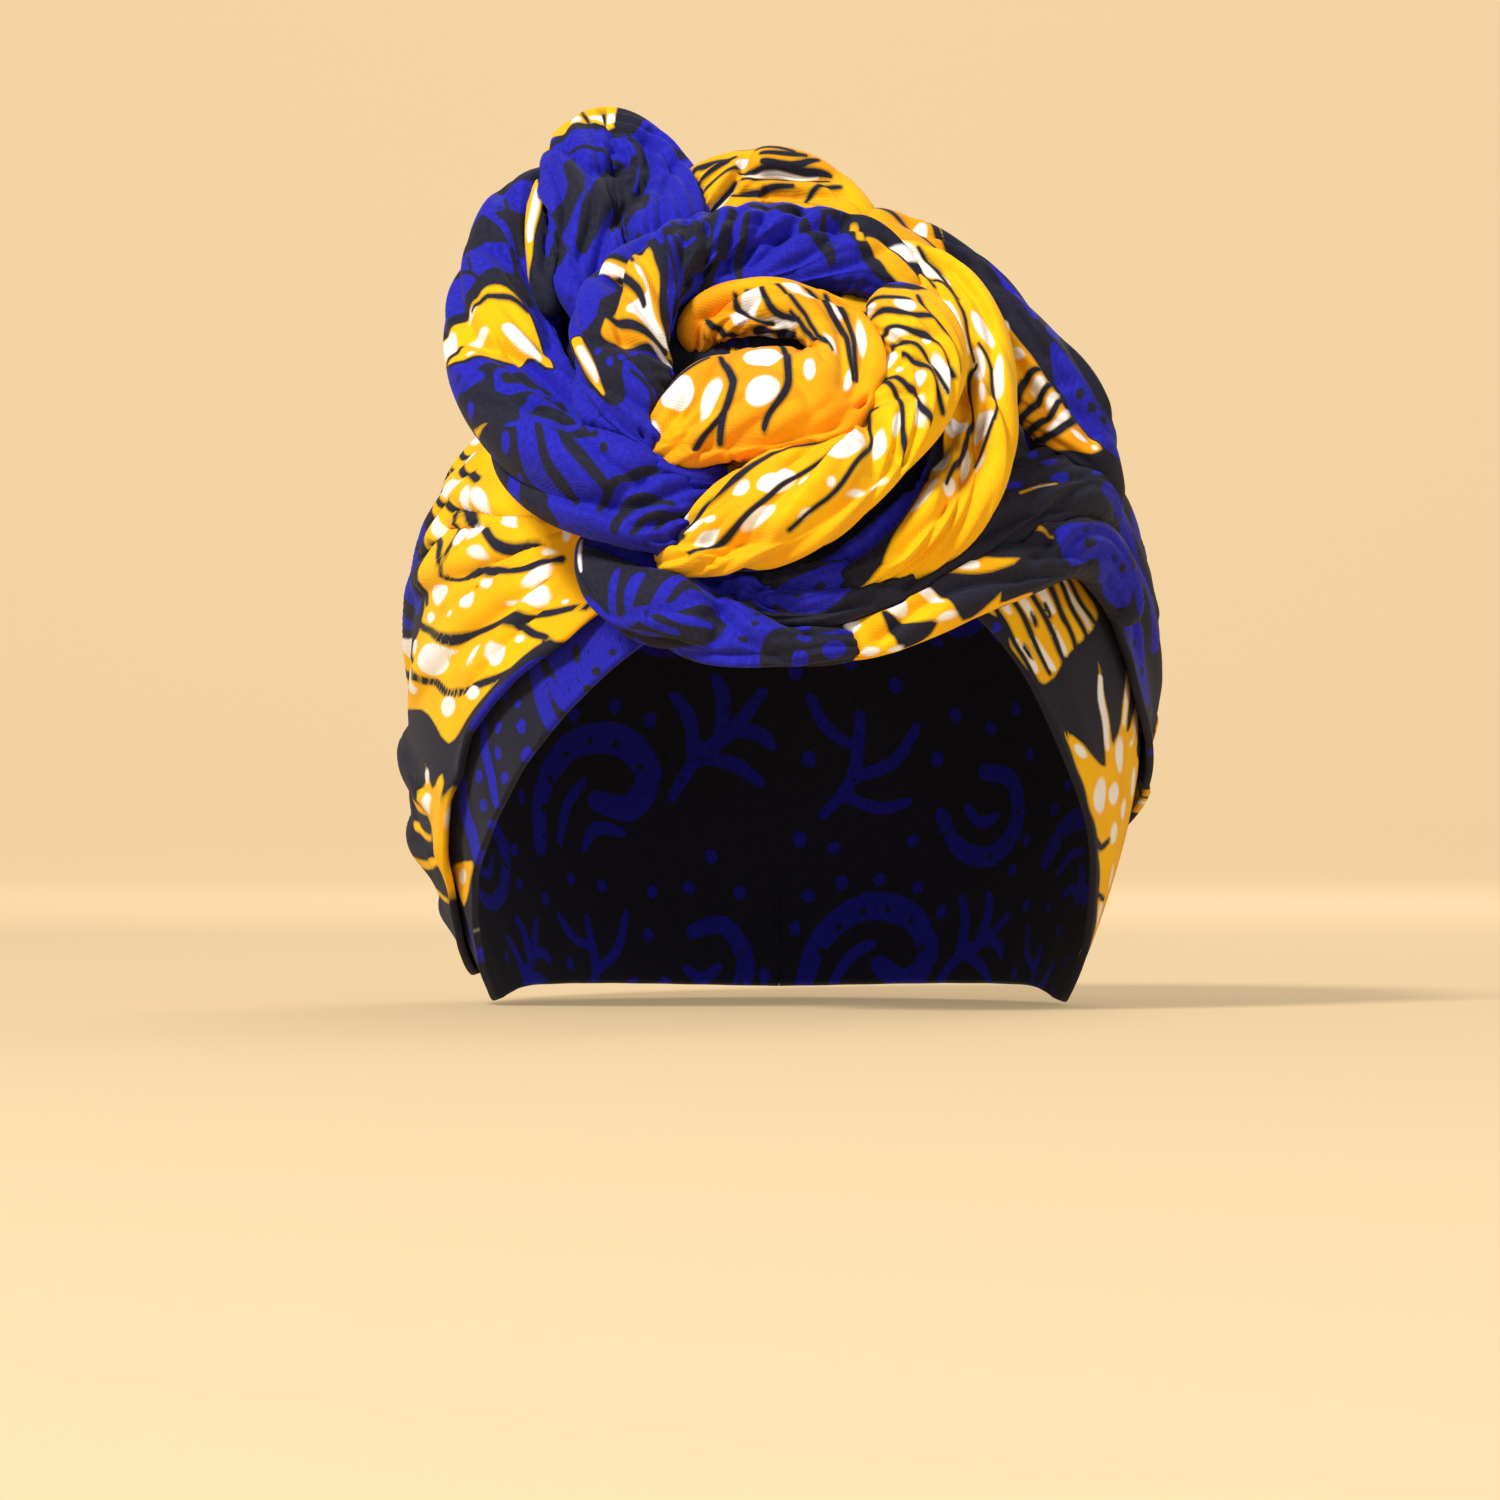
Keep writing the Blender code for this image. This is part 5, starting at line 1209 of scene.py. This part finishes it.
lay_coil(
    "knot_loop", KNOT_LOOP_ROUTE, KNOT_LOOP_PRINT,
    ground="blue", painted_shade_orange=0.1, lobes=3, fold_depth=0.12, creases=8, seed=51,
    pinches=[(-33, 44, 7, 3.5, 7)],
    tucks=[
        (1.87, 5.2, (-32, 52), (-31, 42), (-37, 36), (-41, 29), (-43, 18)),
        (1.65, 3.96, (-53, 44), (-50, 34), (-53, 20)), (1.54, 3.63, (-50, 49), (-43, 44), (-36, 46)),
        (1.54, 3.96, (-45, 42), (-44, 33), (-47, 22)), (1.65, 4.29, (-24, 47), (-28, 38), (-27, 28)),
        (1.43, 3.3, (-38, 43), (-36, 37), (-38, 31)),
    ],
)

# Knot tail: a slim corner of the cloth that slips out beside the loop, which holds it.
# It is gold with a white middle and a dark edge.
KNOT_TAIL_ROUTE = [
    (-48.5, 49.0, 20, 3.0, 3, 0), (-52.4, 41.5, 24, 5.6, 5, 20), (-54.4, 30.0, 26, 6.2, 5, 40),
    (-54.4, 18.0, 25, 5.0, 5, 60), (-53.6, 8.0, 22, 2.5, 3, 80),
]
KNOT_TAIL_PRINT = [
    ("white", "lines", (1.1, (-52.6, 41), (-57, 35), (-58.4, 28), (-58.4, 24))),
    ("white", "spots", (-53.6, 39.4, 1.6, 1)),
    ("night", "lines", (0.47, (-51, 45), (-55.4, 42.8), (-58, 40)),
     (0.47, (-50, 42.4), (-54.6, 39), (-56.6, 34))),
    ("night", "areas",
     ((-51, 40), (-54, 37), (-56, 32), (-57, 26), (-58, 20), (-60, 8), (-50, 6), (-46, 20), (-47, 38))),
    ("gold", "spots", (-51.6, 36, 1.4, 1.8)),
    ("white", "spots", (-53, 34, 1, 1.3)),
]
lay_coil(
    "knot_tail", KNOT_TAIL_ROUTE, KNOT_TAIL_PRINT,
    ground="gold", painted_shade_orange=0.1, lobes=2, fold_depth=0.12, creases=3, seed=61,
    pinches=[],
    tucks=[(1.32, 2.64, (-50, 44), (-54, 34), (-55, 20))],
)

# Top fold: the striped selvedge of the cloth, turned up behind the rosette.
# It is held between the coils in front of it and the knot behind.
TOP_FOLD_ROUTE = [
    (-28.0, 25.0, 5, 5.0, 5, 0), (-19.0, 34.4, 9, 9.4, 9, 30), (-7.0, 41.2, 10, 10.0, 10, 60),
    (5.6, 39.0, 9, 9.6, 9, 90), (15.6, 31.6, 7, 7.6, 7, 110), (23.0, 23.0, 4, 4.0, 4, 120),
]
TOP_FOLD_PRINT = [
    ("night", "lines", (0.7, (-27, 31.6), (-20, 39), (-14, 44.6)),
     (0.47, (-24, 31), (-17, 37.6), (-10, 43.6)), (0.62, (-22, 42), (-18, 43.4), (-12, 46))),
    ("white", "spots", (-23.4, 31, 3.4, 1.4, 25)),
    ("white", "areas", ((-19, 30.6), (-14, 34.6), (-11, 38.4), (-13, 33), (-16, 31))),
    ("white", "spots", (-10.4, 44, 2.2, 1.4, 35)),
    ("night", "lines", (0.62, (-17, 31), (-13.6, 34.4), (-11.6, 38))),
    ("white", "lines", (0.6, (-10, 40.4), (0, 40.2), (10, 40))),
    ("night", "lines", (0.47, (-11, 41), (0, 41.2), (9, 40.8)),
     (0.55, (-10, 38.6), (0, 38.8), (12.4, 38.6)), (0.55, (-12, 34.6), (-4, 36), (4, 36.6)),
     (0.62, (-6, 47), (0, 46.8), (4, 45.4)), (0.7, (-4.6, 44.6), (1, 44.6), (6.6, 44.4)),
     (0.78, (-4, 42.4), (3, 41.8), (9.6, 43.4)), (0.62, (2, 41.6), (8, 40.8), (13, 40.4)),
     (0.47, (-14, 50), (-6, 51), (4, 49)), (0.47, (6, 33), (10, 36), (15, 37))),
]
lay_coil(
    "top_fold", TOP_FOLD_ROUTE, TOP_FOLD_PRINT,
    ground="gold", painted_shade_orange=0.6, lobes=2, fold_depth=0.16, creases=6, seed=71,
    pinches=[],
    tucks=[
        (1.65, 4.62, (-20, 31), (-13, 39), (-7.8, 49)), (1.43, 3.96, (-8, 44), (2, 43), (13, 43)),
        (1.43, 3.63, (-10, 39), (2, 38), (14, 38)), (1.43, 3.3, (-24, 34), (-17, 42), (-12, 47)),
    ],
)

# Outer coil: the outermost turn on the right, gold and striped inside, blue-black outside.
# Its lower end runs back along the side, where it is tucked in.
OUTER_COIL_ROUTE = [
    (13.0, 30.0, 4, 5.0, 5, 0), (28.0, 24.6, 8, 9.4, 9, 30), (41.8, 15.0, 10, 11.0, 10, 70),
    (53.4, 2.0, 12, 11.6, 11, 110), (62.2, -9.6, 13, 12.2, 11, 150), (68.2, -20.0, 12, 11.4, 10, 190),
    (73.6, -29.6, 8, 8.0, 7, 220), (77.5, -36.6, 4, 4.0, 4, 240),
]
OUTER_COIL_PRINT = [
    ("gold", "areas",
     ((14, 37), (26, 34.6), (35, 32.6), (38, 30), (41, 22), (44, 18), (47.4, 13), (51, 7), (54, 3),
      (57, -2), (61, -7), (64, -12), (71, -20), (58, -23), (46, -24), (44, -6), (40, 8), (30, 18),
      (18, 24))),
    ("night", "lines", (0.47, (19, 33.6), (27, 31), (32, 27), (37, 22)),
     (0.78, (36, 31), (39.6, 24), (42, 17))),
    ("white", "spots", (33.4, 28, 1.8, 2.2, -20), (47, 12.4, 1.2, 2.2, -10), (51, 5.6, 0.9, 2),
     (52.6, -0.8, 1.4, 1.4)),
    ("night", "lines", (0.62, (47, 16), (49, 9), (51, 2)), (0.7, (57, -3), (53.6, -7), (51.6, -14))),
    ("white", "spots", (56.8, -7, 1.3, 3, -32), (60, -10, 1.2, 3, -35), (61.8, -15, 1.1, 4.4, -42),
     (65.8, -17.5, 2, 1, -20), (69, -19.6, 1, 0.8)),
    ("night", "lines", (0.7, (59.6, -6), (55, -13), (51.6, -20)),
     (0.78, (62.4, -10), (57.6, -16), (53, -22)), (0.78, (66, -13), (61, -18), (55, -23))),
    ("blue", "lines", (1.1, (50, 21.6), (55.4, 14), (58, 8))),
    ("blue", "spots", (62, 5, 1.8, 2)),
    ("blue", "areas",
     ((61, 2.4), (66, -3), (72, -10), (77, -17), (78, -24), (70, -18.4), (66, -13), (63, -8), (60, -3))),
    ("night", "spots", (67, -8.6, 1.2, 1.2), (70.2, -11, 1.1, 1.1), (73, -13.4, 0.9, 1)),
    ("blue", "areas", ((70, 6), (76, 0), (84, -10), (82, -16), (76, -8))),
    ("blue", "lines", (1.4, (52, 30), (60, 22), (68, 12))),
]
lay_coil(
    "coil_outer", OUTER_COIL_ROUTE, OUTER_COIL_PRINT,
    ground="night", painted_shade_orange=0.7, lobes=3, fold_depth=0.14, creases=9, seed=81,
    pinches=[],
    tucks=[
        (2.2, 5.2, (30, 32), (42, 23), (53, 10), (63, -4), (72, -18)),
        (1.65, 3.96, (40, 24), (48, 11), (56, -4), (62, -14)), (1.65, 3.63, (60, 12), (70, -2), (78, -16)),
        (1.65, 3.63, (50, 18), (57, 7), (66, -6)),
    ],
)

# Brow band: a narrow roll along the rosette's lower edge, blue-black with round blue dots.
# One end is lobed and blue, and the other is tucked in under the coils.
BROW_BAND_ROUTE = [
    (78.0, -38.4, 2, 4.0, 4, 0), (71.5, -31.8, 8, 9.4, 8, 15), (62.6, -30.6, 12, 11.0, 9, 30),
    (49.6, -36.8, 13, 10.8, 9, 60), (36.0, -46.2, 13, 9.8, 9, 90), (21.4, -54.0, 13, 8.8, 9, 120),
    (5.4, -58.0, 14, 8.2, 9, 150), (-11.0, -56.6, 12, 5.0, 5, 180),
]
BROW_BAND_PRINT = [
    ("blue", "spots", (61.6, -22, 1.4, 1.1), (54.6, -26.6, 1.5, 1.2), (58.5, -29.6, 1.8, 1.4),
     (61.6, -33.6, 1.9, 1.1), (65, -25, 1.4, 0.9), (68.4, -28, 2, 1.1), (68.6, -31.4, 1.3, 1.1)),
    ("blue", "areas",
     ((66, -19), (74, -18), (79, -23), (78, -28.6), (71.6, -30), (69.4, -26.6), (66, -24))),
    ("night", "spots", (70.4, -22.6, 1.6, 1.2)),
    ("night", "lines", (0.5, (67, -25.6), (71, -26), (74, -25))),
    ("blue", "areas", ((71, -33), (76, -34.6), (76, -39), (71.4, -36.6))),
    ("blue", "lines", (0.6, (38, -38.4), (45, -36.6), (52.6, -35))),
    ("gold", "lines", (0.8, (52.6, -37.4), (57, -35.4), (61, -35))),
    ("white", "lines", (0.5, (55.6, -35.8), (60.4, -35))),
    ("blue", "areas", ((-2, -58), (5, -53.6), (16, -51), (15, -58), (9, -63), (2, -62))),
    ("night", "spots", (8, -57, 1.2, 0.9), (4, -59.6, 1, 0.6)),
    ("blue", "areas", ((-12, -52), (-6, -56), (0, -60), (-8, -62), (-14, -58))),
]
lay_coil(
    "brow_band", BROW_BAND_ROUTE, BROW_BAND_PRINT,
    ground="night", painted_shade_orange=0.2, lobes=3, fold_depth=0.14, creases=8, seed=91,
    pinches=[(-4, -56, 8, 2.2, 8)],
    tucks=[
        (1.76, 3.96, (22, -50), (36, -40), (52, -31), (70, -28)),
        (1.65, 3.63, (28, -54), (44, -43), (60, -36), (74, -37)),
        (1.54, 3.63, (-6, -54), (10, -54), (24, -51)), (1.54, 3.3, (52, -27), (62, -23), (74, -25)),
        (1.43, 3.3, (-8, -58), (6, -60), (20, -58)),
    ],
)

# Brow rolls: the folded edge of the wrap across the front, rolled under and held by the rosette.
# It is blue with a frond on one side, gold with pointed dark blades on the other.
BROW_ROLL_LEFT_ROUTE = [
    (-36.0, -36.6, 4, 5.5, 4, 0), (-38.6, -47.4, 9, 9.6, 7, 30), (-34.4, -56.0, 12, 12.2, 9, 60),
    (-21.5, -59.6, 14, 13.0, 10, 90), (-6.0, -63.2, 13, 11.6, 9, 120), (8.0, -67.0, 10, 7.6, 7, 150),
    (19.0, -69.4, 6, 3.0, 3, 170),
]
BROW_ROLL_LEFT_PRINT = [
    ("night", "areas",
     ((-48, -49.6), (-36, -52.4), (-28, -54), (-20, -54.6), (-17, -58), (-14.4, -62), (-12.6, -65.4),
      (-15, -69.4), (-22, -73), (-33, -75), (-42, -73), (-48, -62))),
    ("blue", "lines", (1.1, (-45, -61), (-38, -66), (-30, -65.4), (-22, -63.5), (-16, -61)),
     (1.2, (-38.4, -66), (-36, -61), (-35, -57)), (1.15, (-33.4, -65), (-30.6, -60), (-28.4, -57)),
     (1.15, (-27.4, -64.6), (-23.6, -59.6), (-20, -56)),
     (1.1, (-22.4, -63), (-18.4, -60.6), (-15.6, -60.6)), (1, (-38.4, -66.4), (-33, -69), (-28.6, -70.8)),
     (1, (-31.4, -65.6), (-27, -68.4), (-23.6, -69.2)), (0.9, (-26.4, -65), (-21, -66.6), (-16, -66.8))),
    ("blue", "areas", ((-48, -60), (-41.4, -62), (-38.6, -67), (-41, -70), (-48, -68))),
    ("night", "spots", (-9, -69.4, 1.2, 0.9), (-6.4, -66.4, 0.9, 0.7), (-6, -63, 0.8, 0.7),
     (0, -60.4, 1.2, 0.9), (-4, -59, 0.6, 0.6)),
    ("night", "lines", (0.9, (-14, -56), (-5, -61), (1, -66), (8, -72))),
    ("night", "areas",
     ((13, -50), (19, -53), (22, -56), (18, -62), (11, -67), (4, -66.4), (11, -61), (14.6, -56)),
     ((-4, -69), (2, -66), (9, -68), (20, -68), (22, -76), (0, -78), (-6, -74))),
    ("blue", "spots", (3.6, -68.6, 1.6, 1.3), (10.4, -71.4, 2.5, 1.8), (3.4, -73.2, 2, 1.4)),
    ("white", "lines", (0.6, (-46, -45), (-46.4, -50), (-45.4, -54))),
]
lay_coil(
    "brow_roll_left", BROW_ROLL_LEFT_ROUTE, BROW_ROLL_LEFT_PRINT,
    ground="blue", painted_shade_orange=0.2, lobes=3, fold_depth=0.1, creases=7, seed=101,
    pinches=[(-14, -56, 9, 3, 8)],
    tucks=[
        (1.98, 4.95, (-46, -42), (-32, -48), (-20, -49), (-14, -58), (-16, -69)),
        (1.65, 3.96, (-20, -50), (-10, -56), (6, -65)), (1.65, 3.63, (-17, -52), (-4, -57), (10, -62)),
        (1.54, 2.97, (-46, -50), (-38, -62), (-26, -71)), (1.43, 2.97, (-14, -60), (-6, -68), (4, -73)),
    ],
)
BROW_ROLL_RIGHT_ROUTE = [
    (10.0, -68.4, 5, 5.0, 4, 0), (20.4, -62.8, 9, 10.2, 7, 30), (35.0, -56.2, 11, 11.8, 8, 55),
    (50.5, -48.4, 11, 11.6, 8, 80), (62.8, -43.6, 10, 10.6, 8, 110), (72.0, -46.0, 7, 8.4, 7, 140),
    (78.2, -53.4, 4, 6.4, 5, 160), (82.5, -63.0, 1, 3.6, 3, 170),
]
BROW_ROLL_RIGHT_PRINT = [
    ("night", "areas",
     ((4, -70), (10, -67), (16, -62), (20, -54), (25, -46), (32, -43), (40, -42.4), (52, -44), (62, -47),
      (66, -44), (60, -34), (40, -34), (20, -40), (8, -56)),
     ((32, -49.3), (40, -48.8), (50, -48), (55, -46.4), (61, -47.6), (56, -51), (52, -52.5), (46, -52.6),
      (38, -51)),
     ((28, -55.3), (36, -56.2), (46, -55.4), (52, -54), (48, -60), (41, -64), (36, -60.6), (31, -58)),
     ((22.4, -63.5), (28, -65.5), (35, -65.6), (30, -70), (26.6, -69.4)),
     ((51, -54), (57, -49), (62, -46), (70, -40), (84, -50), (86, -66), (72, -62), (60, -58), (50, -60))),
    ("white", "areas",
     ((26.6, -49), (31, -45.6), (33.4, -48.4), (31, -50), (35, -51.6), (36, -54.8), (29, -54.4),
      (26, -52)),
     ((37, -52.4), (42, -53), (43, -54.8), (38, -55.2))),
    ("white", "spots", (49, -46.2, 4.4, 1.7, -5), (37, -47.5, 2, 0.9)),
    ("white", "areas", ((28, -56.4), (33, -59), (36, -62), (31, -60.4))),
    ("white", "spots", (25.5, -62, 2.6, 2.2, -20)),
    ("white", "areas", ((11, -67.6), (16, -63.8), (19, -66), (15, -68.4))),
    ("white", "spots", (21, -71, 2.2, 1.1), (26.6, -70.6, 2, 0.8, 20), (37, -64.3, 2.4, 0.8, 20)),
    ("blue", "areas",
     ((60, -46.4), (66, -44), (72, -40), (78, -46), (80, -56), (74, -56), (70, -50), (66, -52))),
    ("blue", "lines", (1.4, (80, -50), (84, -58), (86, -66))),
    ("night", "spots", (68, -48, 1, 1), (75.6, -49, 1, 1)),
]
lay_coil(
    "brow_roll_right", BROW_ROLL_RIGHT_ROUTE, BROW_ROLL_RIGHT_PRINT,
    ground="gold", painted_shade_orange=0.3, lobes=3, fold_depth=0.08, creases=6, seed=111,
    pinches=[],
    tucks=[
        (1.76, 3.96, (16, -60), (28, -49), (46, -43), (62, -43)),
        (1.76, 3.96, (22, -66), (36, -56), (52, -52), (66, -51)),
        (1.54, 2.97, (26, -69), (40, -63), (54, -56)), (1.65, 3.63, (58, -47), (70, -47), (79, -58)),
    ],
)

# Crossing knot: the crossed tails that fill the rosette from behind and carry it on the crown.
# It is a soft bulb of gathered cloth, whose pleats run back and down into the wrap.
KNOT_CENTRE = (-6.0, -8.0)
KNOT_HALF_WIDTH = 54.0
KNOT_HALF_HEIGHT = 48.0
KNOT_FRONT_DEPTH = 15.0
KNOT_BACK_DEPTH = 60.0
KNOT_BACK_DROP = 18.0
KNOT_GAP = 1.3
KNOT_PLEATS = 13
KNOT_PLEAT_DEPTH = 0.05
KNOT_PRINT_RADIUS = 44.0
KNOT_GRID = (220, 110)


def place_knot(across, down):
    """Places the knot's cloth as a pleated bulb, blunt in front and drawn out behind."""
    turned, fallen = 2 * math.pi * across, math.pi * down
    side, up, back = np.sin(fallen) * np.cos(turned), np.sin(fallen) * np.sin(turned), -np.cos(fallen)
    ridges = 1 - np.abs(np.cos(KNOT_PLEATS * (turned + 0.5 * fallen) / 2))
    pleats = 1 - KNOT_PLEAT_DEPTH * np.sin(fallen) * ridges
    x = KNOT_CENTRE[0] + side * KNOT_HALF_WIDTH * pleats
    z = KNOT_CENTRE[1] + up * KNOT_HALF_HEIGHT * pleats - back.clip(0) * KNOT_BACK_DROP
    y = seat_y(x, z) + back * np.where(back < 0, KNOT_FRONT_DEPTH, KNOT_BACK_DEPTH)
    points = clear_of_wrap(np.stack([x, y, z], axis=1), KNOT_GAP)
    behind = np.full(x.shape, KEPT_DISTANCE)
    return points, (turned - math.pi) * KNOT_PRINT_RADIUS, fallen * KNOT_HALF_HEIGHT, behind


knot = cloth_grid("crossing_knot_cloth", *KNOT_GRID, place_knot)
press_under(knot)
print_cloth(knot, "night", [], PRINT_LEAF + PRINT_CURLS)
dress(knot, "crossing_knot", painted_shade_orange=0.3)

# Studio: a pale floor that bends up into a wall, one large soft light from the upper left and weaker ones.
FLOOR_Z = -0.1535
HALF_WIDTH_OF_SWEEP = 6.0
SWEEP_LOW_Y, SWEEP_WALL_Y = -6.0, 2.5
WALL_BEND = 2.2
WALL_TOP = 4.5
BEND_STEPS = 12
profile = [(SWEEP_LOW_Y, FLOOR_Z), (-1.0, FLOOR_Z), (1.0, FLOOR_Z), (SWEEP_WALL_Y, FLOOR_Z)]
for step in range(1, BEND_STEPS + 1):
    turned = math.pi / 2 * step / BEND_STEPS
    bend_y, bend_z = WALL_BEND * math.sin(turned), WALL_BEND * (1 - math.cos(turned))
    profile.append((SWEEP_WALL_Y + bend_y, FLOOR_Z + bend_z))
profile.append((SWEEP_WALL_Y + WALL_BEND, WALL_TOP))
sweep = bmesh.new()
front_corners = [sweep.verts.new((x, *profile[0])) for x in (-HALF_WIDTH_OF_SWEEP, HALF_WIDTH_OF_SWEEP)]
edge = sweep.edges.new(front_corners)
for y, z in profile[1:]:
    grown = bmesh.ops.extrude_edge_only(sweep, edges=[edge])["geom"]
    edges = [part for part in grown if isinstance(part, bmesh.types.BMEdge)]
    edge = next(each for each in edges if set(each.verts) <= set(grown))
    for vert in edge.verts:
        vert.co.yz = y, z
bmesh.ops.recalc_face_normals(sweep, faces=sweep.faces)
sweep_mesh = bpy.data.meshes.new("studio_sweep")
sweep.to_mesh(sweep_mesh)
sweep.free()
sweep_mesh.shade_smooth()
studio_sweep = bpy.data.objects.new("studio_sweep", sweep_mesh)
bpy.context.scene.collection.objects.link(studio_sweep)
paper = bpy.data.materials.new("warm_paper")
paper.use_nodes = True
paper.cycles.emission_sampling = "NONE"
paper_shader = paper.node_tree.nodes["Principled BSDF"]
paper_shader.inputs["Base Color"].default_value = (0.46, 0.34, 0.195, 1)
paper_shader.inputs["Emission Color"].default_value = (0.8, 0.6, 0.35, 1)
paper_shader.inputs["Emission Strength"].default_value = 0.4
paper_shader.inputs["Roughness"].default_value = 0.95
paper_shader.inputs["Specular IOR Level"].default_value = 0.1
sweep_mesh.materials.append(paper)


def add_light(name, place, aim, size, watts):
    """A square lamp of this size in metres, turned towards its aim."""
    data = bpy.data.lights.new(name, "AREA")
    data.size = size
    data.energy = watts
    light = bpy.data.objects.new(name, data)
    light.location = place
    light.rotation_euler = (Vector(aim) - Vector(place)).to_track_quat("-Z", "Y").to_euler()
    bpy.context.scene.collection.objects.link(light)


add_light("key_light", (-1.5, -2.4, 2.3), (0, 0, -0.03), size=0.6, watts=140)
add_light("fill_light", (1.9, -1.5, 0.3), (0, 0, -0.05), size=1.0, watts=9)
add_light("low_light", (0.3, -2.6, 0.15), (0, 0, -0.1), size=0.5, watts=4)
add_light("back_light", (0.5, 1.4, 1.2), (0, 0, -0.05), size=0.9, watts=14)
add_light("wall_light", (0, 1.4, 2.4), (0, 4.7, 1.8), size=2.5, watts=90)
world = bpy.data.worlds.new("studio")
world.use_nodes = True
world.node_tree.nodes["Background"].inputs["Color"].default_value = (1.0, 0.97, 0.93, 1)
world.node_tree.nodes["Background"].inputs["Strength"].default_value = 0.27
bpy.context.scene.world = world
bpy.context.scene.view_settings.view_transform = "Standard"

# Camera: level, in front of the opening, as far back as a portrait lens asks.
CAMERA_PLACE = (-0.0072, -2.5, -0.0924)
LENS_MM = 250
SENSOR_MM = 36
camera_data = bpy.data.cameras.new("front_camera")
camera_data.lens = LENS_MM
camera_data.sensor_width = SENSOR_MM
camera = bpy.data.objects.new("front_camera", camera_data)
camera.location = CAMERA_PLACE
camera.rotation_euler = (math.radians(90), 0, 0)
bpy.context.scene.collection.objects.link(camera)
bpy.context.scene.camera = camera
